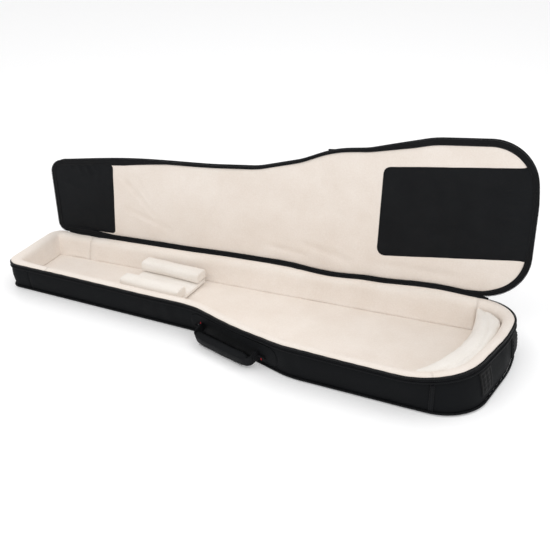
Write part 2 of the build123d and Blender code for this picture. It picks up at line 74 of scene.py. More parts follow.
# Corners of each plan outline, anticlockwise from the head end's front: x, y, radius.
# CAD is the solid tray's outline. RIM, FLOOR and LID are the fabric's own edges, up to 44 mm from it.
CAD = [(-665, -120, 42), (-80, -120, 190), (200, -196, 190), (651, -196, 118), (665, 60, 900),
       (658, BACK_BODY, 110), (-665, BACK_HEAD, 56)]
RIM = [(-680, -124, 34), (-86, -121, 200), (182, -200, 200), (595, -201, 165), (646, 60, 380),
       (647, BACK_BODY - 1, 92), (-688, BACK_HEAD - 1, 36)]
FLOOR = [(-686, -125, 34), (-92, -116, 190), (200, -202, 190), (638, -193, 120), (668, 50, 380),
         (658, BACK_BODY, 110), (-690, BACK_HEAD - 1, 46)]
LID = [(-661, -115, 46), (-30, -114, 200), (430, -198, 260), (676, -198, 116), (679, -40, 400),
       (655, HINGE_MID_Y + HINGE_SLOPE * 655, 126), (-679, HINGE_MID_Y - HINGE_SLOPE * 679, 30)]
HINGE_EDGE = 5


# ---------------------------------------------------------------- plan outlines
def edges_of(shape, inset, hinge_inset):
    """Each edge as point and direction, moved inwards."""
    lines = []
    for i, (x0, y0, _) in enumerate(shape):
        x1, y1, _ = shape[(i + 1) % len(shape)]
        run = math.hypot(x1 - x0, y1 - y0)
        dx, dy = (x1 - x0) / run, (y1 - y0) / run
        step = inset if i != HINGE_EDGE or hinge_inset is None else hinge_inset
        lines.append((x0 - dy * step, y0 + dx * step, dx, dy))
    return lines


def corner_arcs(shape, inset, hinge_inset=None):
    """Start, incoming direction, signed turn and radius of the arc at every corner."""
    lines = edges_of(shape, inset, hinge_inset)
    arcs = []
    for i, (_, _, radius) in enumerate(shape):
        ax, ay, adx, ady = lines[i - 1]
        bx, by, bdx, bdy = lines[i]
        cross = adx * bdy - ady * bdx
        turn = math.atan2(cross, adx * bdx + ady * bdy)
        along = ((bx - ax) * bdy - (by - ay) * bdx) / cross
        vx, vy = ax + adx * along, ay + ady * along
        radius = max(radius - inset, 1.0) if turn > 0 else radius + inset
        back = radius * math.tan(abs(turn) / 2)
        arcs.append((vx - adx * back, vy - ady * back, adx, ady, turn, radius,
                     vx + bdx * back, vy + bdy * back))
    return arcs


ARC_STEPS, RUN_STEPS = [], []
for n, arc in enumerate(corner_arcs(CAD, 0.0)):
    following = corner_arcs(CAD, 0.0)[(n + 1) % len(CAD)]
    ARC_STEPS.append(max(6, round(arc[5] * abs(arc[4]) / STEP)))
    RUN_STEPS.append(max(2, round(math.hypot(following[0] - arc[6], following[1] - arc[7]) / STEP)))


def trace(shape, inset, hinge_inset, arc_steps, run_steps):
    """Points round an outline, the same number for every outline with the same steps."""
    points = []
    arcs = corner_arcs(shape, inset, hinge_inset)
    for i, (sx, sy, dx, dy, turn, radius, ex, ey) in enumerate(arcs):
        side = math.copysign(1, turn)
        for k in range(arc_steps[i]):
            a = abs(turn) * k / arc_steps[i]
            forward, across = radius * math.sin(a), side * radius * (1 - math.cos(a))
            points.append((sx + dx * forward - dy * across, sy + dy * forward + dx * across))
        nx, ny = arcs[(i + 1) % len(arcs)][:2]
        for k in range(run_steps[i]):
            f = k / run_steps[i]
            points.append((ex + (nx - ex) * f, ey + (ny - ey) * f))
    return np.array(points)


def ring(shape, inset=0.0, hinge_inset=None):
    return trace(shape, inset, hinge_inset, ARC_STEPS, RUN_STEPS)


def match(plan, onto):
    """For every point of a ring, where on another ring the nearest point lies, as a fractional index."""
    count = len(plan)
    best, where = np.full(count, 1e9), np.zeros(count)
    start, run = onto, np.roll(onto, -1, 0) - onto
    for shift in range(-16, 17):
        i = (np.arange(count) + shift) % count
        f = np.clip(((plan - start[i]) * run[i]).sum(1) / (run[i] ** 2).sum(1), 0, 1)
        gap = np.linalg.norm(plan - start[i] - run[i] * f[:, None], axis=1)
        better = gap < best
        best[better], where[better] = gap[better], (shift + f)[better]
    for _ in range(6):
        where = (np.roll(where, 1) + 2 * where + np.roll(where, -1)) / 4
    return np.arange(count) + where


RIM_AT = match(ring(FLOOR, DRAFT), ring(RIM))


def rim_ring(inset):
    """The rim's outline with its points straight above the floor's."""
    plan = ring(RIM, inset)
    low = np.floor(RIM_AT).astype(int)
    f = (RIM_AT - low)[:, None]
    return plan[low % len(plan)] * (1 - f) + plan[(low + 1) % len(plan)] * f


def outward(plan):
    """Unit normals of a closed anticlockwise outline."""
    along = np.roll(plan, -1, 0) - np.roll(plan, 1, 0)
    along /= np.linalg.norm(along, axis=1)[:, None]
    return np.stack([along[:, 1], -along[:, 0]], 1)


def starts():
    """Index of the first point of every corner arc in a ring."""
    first, at = [], 0
    for arc, run in zip(ARC_STEPS, RUN_STEPS):
        first.append(at)
        at += arc + run
    return first


def resample(line, count):
    """A polyline cut into count equal steps."""
    gaps = np.linalg.norm(np.diff(line, axis=0), axis=1)
    at = np.r_[0, np.cumsum(gaps)]
    where = np.linspace(0, at[-1], count + 1)
    return np.stack([np.interp(where, at, line[:, k]) for k in range(line.shape[1])], 1)


def coons(front, body, back, head):
    """A grid inside four edges: front and back run head to body, head and body run front to back."""
    u = np.linspace(0, 1, len(front))[:, None, None]
    v = np.linspace(0, 1, len(body))[None, :, None]
    edges = (1 - v) * front[:, None] + v * back[:, None] + (1 - u) * head[None] + u * body[None]
    corners = ((1 - u) * (1 - v) * front[0] + u * (1 - v) * front[-1]
               + (1 - u) * v * back[0] + u * v * back[-1])
    return edges - corners


def plan_patch(shape, inset, hinge_inset=None, step=9.0, change=None):
    """A grid of plan points that fills an outline."""
    plan = ring(shape, inset, hinge_inset)
    if change:
        plan = change(plan)
    first = starts()
    mids = [first[i] + ARC_STEPS[i] // 2 for i in (0, 3, 5, 6)]
    loop = np.vstack([plan, plan])
    count = len(plan)
    front = loop[mids[0]:mids[1] + 1]
    body = loop[mids[1]:mids[2] + 1]
    back = loop[mids[2]:mids[3] + 1][::-1]
    head = loop[mids[3]:mids[0] + count + 1][::-1]
    long_steps = round(2 * HALF / step)
    wide_steps = round(330 / step)
    return coons(resample(front, long_steps), resample(body, wide_steps),
                 resample(back, long_steps), resample(head, wide_steps))


def quad_patch(points, radii, step=7.0):
    """A grid that fills a four-cornered patch with rounded corners, first corner head front."""
    shape = [(x, y, r) for (x, y), r in zip(points, radii)]
    arcs = corner_arcs(shape, 0.0)
    lines = []
    for i in range(4):
        sides = []
        for which, (sx, sy, dx, dy, turn, radius, ex, ey) in enumerate((arcs[i], arcs[(i + 1) % 4])):
            span = np.linspace(0.5, 1, 5) if which == 0 else np.linspace(0, 0.5, 5)
            for f in span:
                a = turn * f
                forward, across = radius * math.sin(a), radius * (1 - math.cos(a))
                sides.append((sx + dx * forward - dy * across, sy + dy * forward + dx * across))
        lines.append(np.array(sides))
    size_u = np.linalg.norm(np.subtract(points[1], points[0]))
    size_v = np.linalg.norm(np.subtract(points[2], points[1]))
    nu, nv = max(8, round(size_u / step)), max(8, round(size_v / step))
    return coons(resample(lines[0], nu), resample(lines[1], nv),
                 resample(lines[2][::-1], nu), resample(lines[3][::-1], nv))


# ---------------------------------------------------------------- noise and soft shape
def wave(points, scale, seed):
    """Smooth noise at every point, from about -1 to 1."""
    flat = points.reshape(-1, points.shape[-1])
    out = np.empty(len(flat))
    for k, p in enumerate(flat):
        z = p[2] if len(p) > 2 else 0.0
        where = Vector((p[0] / scale + seed * 17.3, p[1] / scale - seed * 9.1, z / scale + seed * 4.7))
        out[k] = noise.noise(where)
    return out.reshape(points.shape[:-1])


def bump(x, middle, half):
    """A smooth hump of height 1."""
    f = np.clip(1 - ((x - middle) / half) ** 2, 0, None)
    return f * f


def hinge_wave(x):
    """How far the hinge seam stands above or hangs below a straight line."""
    return 0.6 * (10 * bump(x, -80, 340) - 13 * bump(x, 140, 115)
                  + 11 * bump(x, 420, 140) + 4 * bump(x, -430, 200))


def settle(points):
    """How the soft tray sags: the long front rim hangs between its corners."""
    p = np.array(points, float)
    x, y, z = p[..., 0], p[..., 1], p[..., 2]
    high = np.clip(z / 90.0, 0, 1.1) ** 2
    front = np.clip((-y - 40) / 60, 0, 1)
    sag = 6.0 * bump(x, 20, 190) + 2.5 * bump(x, -330, 220) + 2.5 * bump(x, 380, 190)
    sag = sag + 1.0 * np.sin(x / 41.0) * bump(x, 0, 620)
    push = 3.5 * bump(x, -20, 150) - 2.0 * bump(x, -420, 170) - 3.0 * bump(x, 330, 170)
    back = np.clip((y - HINGE_MID_Y - HINGE_SLOPE * x + 45) / 40, 0, 1)
    p[..., 2] = z - sag * high * front + hinge_wave(x) * high ** 2 * back
    p[..., 1] = y - push * high * front
    return p


def rim_z(x):
    return RIM_MID + TILT * x


def tray(t, out, drop=0.0):
    """A ring of points on the tray's wall: t is 0 on the floor and 1 at the rim, out is outwards."""
    plan = (1 - t) * ring(FLOOR, DRAFT - out) + t * rim_ring(-out)
    z = t * rim_z(plan[:, 0]) - drop
    return np.column_stack([plan, z])


def turn_about(points, at, axis, angle):
    axis = np.asarray(axis, float) / np.linalg.norm(axis)
    p = np.asarray(points, float) - at
    spin = np.cross(np.broadcast_to(axis, p.shape), p)
    along = (p @ axis)[..., None] * axis
    return at + p * math.cos(angle) + spin * math.sin(angle) + along * (1 - math.cos(angle))


hinge_at = np.array(JOINTS["lid_hinge"]["pos_m"]) / MM
hinge_axis = np.array(JOINTS["lid_hinge"]["axis"])


def lid_space(plan, height):
    """Points of the closed lid, height above the rim's plane, turned open to where it rests."""
    plan = np.asarray(plan, float)
    z = rim_z(plan[..., 0]) + height
    closed = np.concatenate([plan, np.broadcast_to(z, plan.shape[:-1])[..., None]], -1)
    return turn_about(closed, hinge_at, hinge_axis, LID_OPEN)


def lid_ring(height, inset):
    """A ring round the lid's side at a height above the rim's plane."""
    return lid_wave(ring(LID, LID_INSET + LID_TAPER * height / LID_THICK + inset, inset))


def lid_wave(plan):
    """The lid's edges are not straight: its front bows out twice and its hinge edge follows the seam."""
    p = np.array(plan, float)
    x, y = p[..., 0], p[..., 1]
    front = np.clip((-y - 60) / 50, 0, 1)
    back = np.clip((y - HINGE_MID_Y - HINGE_SLOPE * x + 70) / 65, 0, 1)
    p[..., 1] += -front * (10.5 * bump(x, -405, 270) + 10.5 * bump(x, 180, 100)) - back * hinge_wave(x)
    return p


# ---------------------------------------------------------------- meshes
def link(name, verts, faces, body=None):
    mesh = bpy.data.meshes.new(name)
    mesh.from_pydata([tuple(v) for v in np.asarray(verts, float) * MM], [], [tuple(f) for f in faces])
    mesh.validate()
    mesh.polygons.foreach_set("use_smooth", [True] * len(mesh.polygons))
    obj = bpy.data.objects.new(name, mesh)
    bpy.context.scene.collection.objects.link(obj)
    if body:
        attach(obj, body)
    return obj


def grid_faces(nu, nv, closed_u=False, closed_v=False):
    faces = []
    for i in range(nu if closed_u else nu - 1):
        for j in range(nv if closed_v else nv - 1):
            a, b = i * nv + j, ((i + 1) % nu) * nv + j
            c, d = ((i + 1) % nu) * nv + (j + 1) % nv, i * nv + (j + 1) % nv
            faces.append((a, b, c, d))
    return faces


def surface(name, grid, body, thick, closed=False, offset=-1.0):
    """A cloth surface from a grid of points, with its own thickness."""
    nu, nv = grid.shape[:2]
    obj = link(name, grid.reshape(-1, 3), grid_faces(nu, nv, closed))
    solid = obj.modifiers.new("thickness", "SOLIDIFY")
    solid.thickness = thick * MM
    solid.offset = offset
    solid.use_even_offset = False
    bake(obj)
    if body:
        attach(obj, body)
    return obj


def bake(obj):
    """Apply every modifier to the mesh."""
    bpy.context.view_layer.update()
    done = bpy.data.meshes.new_from_object(obj.evaluated_get(bpy.context.evaluated_depsgraph_get()))
    old = obj.data
    obj.modifiers.clear()
    obj.data = done
    bpy.data.meshes.remove(old)


def frames_along(path, up, closed):
    """Tangent, side and up vectors along a path."""
    if closed:
        t = np.roll(path, -1, 0) - np.roll(path, 1, 0)
    else:
        t = np.gradient(path, axis=0)
    t /= np.linalg.norm(t, axis=1)[:, None]
    up = np.broadcast_to(np.asarray(up, float), t.shape)
    side = np.cross(t, up)
    side /= np.linalg.norm(side, axis=1)[:, None]
    return t, side, np.cross(side, t)


def swept(name, path, section, up=(0, 0, 1), closed=False, body=None):
    """A closed section swept along a path, with flat ends where the path is open."""
    path = np.asarray(path, float)
    _, side, top = frames_along(path, up, closed)
    section = np.asarray(section, float)
    points = path[:, None] + section[None, :, :1] * side[:, None] + section[None, :, 1:2] * top[:, None]
    nu, nv = points.shape[:2]
    faces = grid_faces(nu, nv, closed, True)
    if not closed:
        faces += [tuple(range(nv))[::-1], tuple(range((nu - 1) * nv, nu * nv))]
    return link(name, points.reshape(-1, 3), faces, body)


PIPING_RADIUS, PIPING_SIDES = 2.7, 10
around = np.linspace(0, 2 * math.pi, PIPING_SIDES, endpoint=False)
PIPING = PIPING_RADIUS * np.column_stack([np.cos(around), np.sin(around)])


def band(wide, thick, round_by):
    """A flat section with rounded edges: wide across, thick along the up vector."""
    r = min(wide, thick) / 2 * round_by
    sides = 3
    points = []
    for cx, cy, start in ((1, 1, 0), (-1, 1, 90), (-1, -1, 180), (1, -1, 270)):
        for k in range(sides + 1):
            a = math.radians(start + 90 * k / sides)
            points.append((cx * (wide / 2 - r) + r * math.cos(a), cy * (thick / 2 - r) + r * math.sin(a)))
    return np.array(points)


def even(path, pitch, closed=False):
    """Points every pitch along a path."""
    if closed:
        path = np.vstack([path, path[:1]])
    length = np.linalg.norm(np.diff(path, axis=0), axis=1).sum()
    count = max(2, round(length / pitch))
    points = resample(path, count)
    return points[:-1] if closed else points


def bricks(name, centres, along, side, top, size, body=None, taper=0.7):
    """Many small rounded blocks, such as stitches or zipper teeth, as one mesh."""
    lx, ly, lz = (s / 2 for s in size)
    outline = [(-lx, -ly * taper), (-lx * 0.6, -ly), (lx * 0.6, -ly), (lx, -ly * taper),
               (lx, ly * taper), (lx * 0.6, ly), (-lx * 0.6, ly), (-lx, ly * taper)]
    base = np.array([(x, y, -lz) for x, y in outline] + [(x * 0.8, y * 0.7, lz) for x, y in outline])
    count = len(outline)
    local = [tuple(range(count))[::-1], tuple(range(count, 2 * count))]
    local += [(k, (k + 1) % count, count + (k + 1) % count, count + k) for k in range(count)]
    verts = (centres[:, None] + base[None, :, :1] * along[:, None]
             + base[None, :, 1:2] * side[:, None] + base[None, :, 2:] * top[:, None])
    faces = [tuple(v + i * 2 * count for v in f) for i in range(len(centres)) for f in local]
    return link(name, verts.reshape(-1, 3), faces, body)


STITCH_PITCH, STITCH_SIZE, TOOTH_PITCH = 4.6, (3.2, 0.9, 0.7), 3.0


def stitches(name, path, up, body, closed=False):
    """A row of thread stitches that lies along a path."""
    points = even(np.asarray(path, float), STITCH_PITCH, closed)
    t, side, top = frames_along(points, up, closed)
    return bricks(name, points, t, side, top, STITCH_SIZE, body)


def coil(name, path, up, body, wide, tall):
    """Zipper teeth standing side by side along a path."""
    points = even(np.asarray(path, float), TOOTH_PITCH)
    t, side, top = frames_along(points, up, False)
    return bricks(name, points, t, side, top, (TOOTH_PITCH * 0.62, wide, tall), body, 0.55)


def join(name, pieces, body):
    """Several meshes as one piece."""
    verts, faces, at = [], [], 0
    for piece in pieces:
        verts += [tuple(v.co) for v in piece.data.vertices]
        faces += [tuple(i + at for i in p.vertices) for p in piece.data.polygons]
        at = len(verts)
        mesh = piece.data
        bpy.data.objects.remove(piece)
        bpy.data.meshes.remove(mesh)
    return link(name, np.array(verts) / MM, faces, body)


def from_node(name, node):
    """A copy of a CAD node's mesh as a new piece."""
    mesh = NODES[node].data.copy()
    mesh.materials.clear()
    obj = bpy.data.objects.new(name, mesh)
    bpy.context.scene.collection.objects.link(obj)
    return obj


def remesh(obj, voxel, shrink):
    """Even out a block's mesh, round its edges over and draw it in."""
    mod = obj.modifiers.new("remesh", "REMESH")
    mod.mode = "VOXEL"
    mod.voxel_size = voxel * MM
    bake(obj)
    smooth = obj.modifiers.new("soften", "SMOOTH")
    smooth.factor, smooth.iterations = 0.5, 4
    pull = obj.modifiers.new("shrink", "DISPLACE")
    pull.strength, pull.mid_level = -shrink * MM, 0.0
    bake(obj)


def coords(mesh):
    out = np.empty(len(mesh.vertices) * 3)
    mesh.vertices.foreach_get("co", out)
    return out.reshape(-1, 3)


CLOTH_FRAMES = 20


def puff(obj, cap, pressure=4.0):
    """Fill a soft block with the cloth solver, and keep the shape that it takes."""
    scene = bpy.context.scene
    rest = coords(obj.data)
    cloth = obj.modifiers.new("cloth", "CLOTH")
    cloth.settings.quality = 5
    cloth.settings.mass = 0.3
    cloth.settings.tension_stiffness = cloth.settings.compression_stiffness = 12
    cloth.settings.bending_stiffness = 0.6
    cloth.settings.use_pressure = True
    cloth.settings.uniform_pressure_force = pressure
    cloth.settings.effector_weights.gravity = 0.0
    cloth.collision_settings.use_collision = False
    for f in range(1, CLOTH_FRAMES + 1):
        scene.frame_set(f)
    moved = coords(obj.evaluated_get(bpy.context.evaluated_depsgraph_get()).data)
    scene.frame_set(1)
    obj.modifiers.clear()
    step = moved - rest
    length = np.linalg.norm(step, axis=1)[:, None]
    step *= np.minimum(1.0, cap * MM / np.maximum(length, 1e-9))
    obj.data.vertices.foreach_set("co", (rest + step).ravel())
    obj.data.update()


def finish_soft(obj):
    smooth = obj.modifiers.new("subdivision", "SUBSURF")
    smooth.levels = smooth.render_levels = 1
    bake(obj)
    obj.data.polygons.foreach_set("use_smooth", [True] * len(obj.data.polygons))


def reshape(obj, change):
    """Move an object's points by a function of their places in millimetres."""
    p = coords(obj.data) / MM
    obj.data.vertices.foreach_set("co", (change(p) * MM).ravel())
    obj.data.update()


# ---------------------------------------------------------------- materials
class Nodes:
    """Builds one procedural material."""

    def __init__(self, name):
        self.material = bpy.data.materials.new(name)
        self.material.use_nodes = True
        self.tree = self.material.node_tree
        self.shader = self.tree.nodes["Principled BSDF"]
        self.place = self.add("ShaderNodeTexCoord").outputs["Object"]

    def add(self, kind, inputs=None, **settings):
        node = self.tree.nodes.new(kind)
        for key, value in settings.items():
            setattr(node, key, value)
        for key, value in (inputs or {}).items():
            if isinstance(value, bpy.types.NodeSocket):
                self.tree.links.new(value, node.inputs[key])
            else:
                node.inputs[key].default_value = value
        return node

    def noise(self, scale, detail=2.0, rough=0.5):
        at = {"Vector": self.place, "Scale": scale, "Detail": detail, "Roughness": rough}
        return self.add("ShaderNodeTexNoise", at).outputs["Fac"]

    def span(self, value, low, high, to_low=0.0, to_high=1.0):
        inputs = {"Value": value, "From Min": low, "From Max": high, "To Min": to_low, "To Max": to_high}
        return self.add("ShaderNodeMapRange", inputs).outputs["Result"]

    def math(self, operation, a, b=0.0):
        return self.add("ShaderNodeMath", {0: a, 1: b}, operation=operation).outputs[0]

    def stripes(self, direction, pitch):
        """Sine stripes across a direction, from 0 to 1."""
        dot = self.add("ShaderNodeVectorMath", {0: self.place, 1: direction}, operation="DOT_PRODUCT")
        phase = self.math("MULTIPLY", dot.outputs["Value"], 2 * math.pi / (pitch * MM))
        return self.math("MULTIPLY_ADD", self.math("SINE", phase), 0.5)

    def weave(self, pitch):
        """Plain weave that shows on walls and on flat panels alike."""
        one = self.stripes((0.71, 0.1, 0.7), pitch)
        two = self.stripes((-0.5, 0.72, 0.48), pitch)
        return self.math("ADD", one, two)

    def mix(self, fac, a, b):
        node = self.add("ShaderNodeMix", data_type="RGBA")
        colour_sockets = [s for s in node.inputs if s.type == "RGBA"]
        self.tree.links.new(fac, node.inputs[0])
        colour_sockets[0].default_value = (*a, 1)
        colour_sockets[1].default_value = (*b, 1)
        return [s for s in node.outputs if s.type == "RGBA"][0]

    def finish(self, colour, rough, height, distance, strength, sheen=0.0, sheen_rough=0.5,
               metallic=0.0, specular=0.5):
        relief = {"Height": height, "Distance": distance * MM, "Strength": strength}
        bump_node = self.add("ShaderNodeBump", relief)
        s = self.shader.inputs
        self.tree.links.new(colour, s["Base Color"])
        self.tree.links.new(rough, s["Roughness"])
        self.tree.links.new(bump_node.outputs["Normal"], s["Normal"])
        s["Sheen Weight"].default_value = sheen
        s["Sheen Roughness"].default_value = sheen_rough
        s["Metallic"].default_value = metallic
        s["Specular IOR Level"].default_value = specular
        return self.material


CLOTH_SHEEN, CLOTH_SPECULAR, WEBBING_SHEEN = 0.008, 0.07, 0.015


def woven(name, dark, light, pitch, rough=(0.55, 0.75), bump_by=0.5):
    """Woven cloth: threads, blotches where it has been handled, and a soft grain."""
    n = Nodes(name)
    threads = n.weave(pitch)
    grain = n.noise(900.0, 3.0)
    blotch = n.noise(14.0, 4.0, 0.6)
    shade = n.math("ADD", n.span(blotch, 0.3, 0.7, 0.0, 0.6), n.span(grain, 0.3, 0.7, 0.0, 0.4))
    colour = n.mix(shade, dark, light)
    height = n.math("ADD", threads, n.math("MULTIPLY", grain, 0.8))
    gloss = n.span(blotch, 0.3, 0.7, rough[0], rough[1])
    return n.finish(colour, gloss, height, 0.25, bump_by, CLOTH_SHEEN, 0.4, 0.0, CLOTH_SPECULAR)


def plush(name, dark, light, pile=0.5):
    """Short-pile plush: fine tufts, brushed patches and a light sheen."""
    n = Nodes(name)
    tuft = n.noise(1500.0, 3.0, 0.7)
    clump = n.noise(260.0, 3.0, 0.6)
    brushed = n.noise(11.0, 3.0, 0.55)
    shade = n.math("ADD", n.span(brushed, 0.3, 0.7, 0.0, 0.55), n.span(clump, 0.3, 0.7, 0.0, 0.45))
    height = n.math("ADD", n.math("MULTIPLY", tuft, 0.5), n.math("MULTIPLY", clump, 1.0))
    colour = n.mix(shade, dark, light)
    return n.finish(colour, n.span(clump, 0.3, 0.7, 0.85, 0.98), height, 0.9, pile, 0.10, 0.6, 0.0, 0.08)


def moulded(name, dark, light, rough, metallic=0.0, bump_by=0.25, specular=0.25):
    """Moulded plastic, rubber or painted metal: fine texture and worn highs."""
    n = Nodes(name)
    grain = n.noise(700.0, 3.0, 0.6)
    wear = n.noise(60.0, 5.0, 0.65)
    colour = n.mix(n.span(wear, 0.35, 0.7), dark, light)
    gloss = n.span(wear, 0.3, 0.7, rough[0], rough[1])
    return n.finish(colour, gloss, grain, 0.15, bump_by, 0.0, 0.5, metallic, specular)


def ribbed(name, dark, light, pitch):
    """Webbing and zipper tape: a fine rib across the length."""
    n = Nodes(name)
    rib = n.stripes((0.94, 0.22, 0.26), pitch)
    grain = n.noise(1100.0, 3.0)
    blotch = n.noise(30.0, 3.0)
    shade = n.math("ADD", n.math("MULTIPLY", rib, 0.4), n.span(blotch, 0.3, 0.7, 0.0, 0.6))
    height = n.math("ADD", rib, n.math("MULTIPLY", grain, 0.5))
    colour = n.mix(shade, dark, light)
    gloss = n.span(blotch, 0.3, 0.7, 0.6, 0.8)
    return n.finish(colour, gloss, height, 0.3, 0.6, WEBBING_SHEEN, 0.4, 0.0, 0.12)


MATERIALS = {
    "nylon_shell": woven("nylon_shell", (0.0036, 0.0040, 0.0047), (0.0078, 0.0086, 0.0098), 1.3),
    "foam": moulded("foam", (0.16, 0.16, 0.16), (0.22, 0.22, 0.22), (0.85, 0.95)),
    "plush_lining": plush("plush_lining", (0.80, 0.715, 0.640), (0.890, 0.825, 0.765)),
    "plush_white": plush("plush_white", (0.815, 0.765, 0.705), (0.900, 0.860, 0.815), 0.6),
    "piping": woven("piping", (0.0045, 0.0048, 0.0055), (0.0095, 0.0102, 0.0115), 0.9, (0.45, 0.6)),
    "zip_tape": ribbed("zip_tape", (0.0045, 0.0048, 0.0055), (0.0095, 0.0102, 0.0115), 1.4),
    "zip_coil": moulded("zip_coil", (0.008, 0.008, 0.009), (0.020, 0.020, 0.022), (0.35, 0.5)),
    "wear_patch": woven("wear_patch", (0.0065, 0.0072, 0.0085), (0.0125, 0.0135, 0.0150), 1.7,
                        (0.5, 0.7), 0.6),
    "rubber": moulded("rubber", (0.0045, 0.0046, 0.0050), (0.0095, 0.0098, 0.0104), (0.55, 0.7),
                      specular=0.16),
    "rivet_metal": moulded("rivet_metal", (0.045, 0.045, 0.050), (0.12, 0.12, 0.125), (0.28, 0.42), 0.8, 0.1),
    "red_tab": ribbed("red_tab", (0.40, 0.012, 0.022), (0.58, 0.030, 0.045), 0.9),
    "webbing": ribbed("webbing", (0.0042, 0.0046, 0.0054), (0.0090, 0.0098, 0.0112), 2.2),
    "grip": woven("grip", (0.0048, 0.0052, 0.0060), (0.0095, 0.0102, 0.0115), 1.0, (0.5, 0.65), 0.4),
    "hook_and_loop": plush("hook_and_loop", (0.70, 0.66, 0.60), (0.82, 0.79, 0.74), 0.8),
    "slider_metal": moulded("slider_metal", (0.012, 0.012, 0.013), (0.05, 0.05, 0.052), (0.25, 0.4),
                            0.7, 0.05),
    "pull_cord": moulded("pull_cord", (0.010, 0.010, 0.011), (0.025, 0.025, 0.027), (0.4, 0.55)),
    "thread": ribbed("thread", (0.012, 0.013, 0.0145), (0.022, 0.0235, 0.026), 0.7),
}


def dress(obj, slot_name, *nodes, fill=None, material=None):
    """Give a piece its material, picked by slot name unless one is given, and hide the CAD nodes it stands for."""
    obj.data.materials.clear()
    obj.data.materials.append(MATERIALS[material or slot_name])
    if nodes:
        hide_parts(*nodes)
    return obj


for node_name, node in NODES.items():
    slot_name = [s["material_slot"] for s in frame["record"]["subparts"] if s["node"] == node_name][0]
    node.data.materials.clear()
    node.data.materials.append(MATERIALS[slot_name])


# ---------------------------------------------------------------- where the seams fall on a ring
reference = ring(FLOOR, DRAFT)
COUNT = len(reference)


def ring_index(x, back):
    """Index of the ring point at x on the back or the front side."""
    side = reference[:, 1] > 40 if back else reference[:, 1] < -40
    return int(np.argmin(np.where(side, np.abs(reference[:, 0] - x), 1e9)))


def span_between(i, j):
    """Indices from i round to j, anticlockwise, both included."""
    last = j if j > i else j + COUNT
    return np.arange(i, last + 1) % COUNT


def seam_dip(count, rows, depth, reach=2.0):
    """How far a panel tucks in beside its two end seams."""
    u = np.arange(count)
    near = np.exp(-u / reach) + np.exp(-(count - 1 - u) / reach)
    return depth * near[:, None] * np.ones(rows)[None]


# ---------------------------------------------------------------- tray: outer panels
wall_t = np.r_[0.0, 0.012, 0.03, 0.06, np.linspace(0.10, 0.76, 12), 0.80, 0.825, 0.842, 0.853]
wall_out = np.interp(wall_t, [0.0, 0.012, 0.03, 0.06, 0.12, 0.3, 0.45, 0.6, 0.74, 0.80, 0.825, 0.842, 0.853],
                     [-7.0, -4.2, -2.2, -0.8, 0.5, 2.2, 2.9, 2.5, 1.2, 0.2, -0.4, -1.4, -2.8])


def shell_wrinkles(points, t):
    """Soft folds in the nylon: creases at the flare, puckers along both seams, broad dents."""
    x, y = points[:, 0], points[:, 1]
    front = (y < 0).astype(float)
    s = np.cumsum(np.r_[0, np.linalg.norm(np.diff(points[:, :2], axis=0), axis=1)])
    folds = -1.8 * bump(x, -205 + 14 * t, 16) + 1.4 * bump(x, -178 + 10 * t, 15) - 1.5 * bump(x, -150, 15)
    folds = folds - 1.5 * bump(x, -262 + 26 * t, 18) + 1.2 * bump(x, 196 - 18 * t, 22)
    folds = folds - 1.6 * bump(x, 226 - 18 * t, 20)
    pucker = 0.35 * np.sin(s / 4.1 + 2 * np.sin(s / 57)) * (bump(t, 0.84, 0.16) + bump(t, 0.02, 0.10))
    broad = 1.6 * wave(np.column_stack([x, y, np.full(len(x), t * 90)]), 95.0, 3) * bump(t, 0.45, 0.5)
    return front * folds * bump(t, 0.5, 0.62) + pucker + broad


rows = []
for t, out in zip(wall_t, wall_out):
    base = tray(t, out)
    normals = outward(base[:, :2])
    base[:, :2] += normals * shell_wrinkles(base, t)[:, None]
    rows.append(base)
shell = settle(np.stack(rows, 1))
shell_normal = np.stack([np.column_stack([outward(shell[:, j, :2]), np.zeros(COUNT)])
                         for j in range(shell.shape[1])], 1)

front_seam, back_seam = ring_index(SEAM_X, False), ring_index(SEAM_X, True)
front_head, back_head = ring_index(HEAD_SEAM_X, False), ring_index(HEAD_SEAM_X, True)
PANELS = {
    "shell_front": (front_head, front_seam, ["side_panel_front", "foam_front_neck", "foam_front_flare",
                                             "foam_front_body"]),
    "shell_body_end": (front_seam, back_seam, ["side_panel_body_end", "foam_body_end"]),
    "shell_back": (back_seam, back_head, ["side_panel_back", "foam_back"]),
    "shell_head_end": (back_head, front_head, ["side_panel_head_end", "foam_head_end"]),
}
for name, (i, j, stands_for) in PANELS.items():
    which = span_between(i, j)
    grid = shell[which].copy()
    grid -= shell_normal[which] * seam_dip(len(which), grid.shape[1], 1.3)[..., None]
    dress(surface(name, grid, "tray", 1.4), "nylon_shell", *stands_for, fill=0.85)


def on_shell(x_index, t):
    """A point of the outer wall and its normal at a ring index and height share."""
    j = np.interp(t, wall_t, np.arange(len(wall_t)))
    low = int(j)
    f = j - low
    high = min(low + 1, len(wall_t) - 1)
    return shell[x_index, low] * (1 - f) + shell[x_index, high] * f


def wall_patch(indices, t_values, out):
    """A grid that follows the outer wall, standing out by out (a number or a grid)."""
    grid = np.stack([np.stack([on_shell(i, t) for t in t_values]) for i in indices])
    normal = np.stack([np.repeat(np.append(outward(shell[:, 8, :2])[i], 0)[None], len(t_values), 0)
                       for i in indices])
    return grid + normal * np.broadcast_to(out, grid.shape[:2])[..., None]


# piping
bottom_line = settle(tray(0.055, 2.2))
bottom_cord = swept("bottom_piping_cord", bottom_line, PIPING, closed=True, body="tray")
dress(bottom_cord, "piping", "bottom_piping")

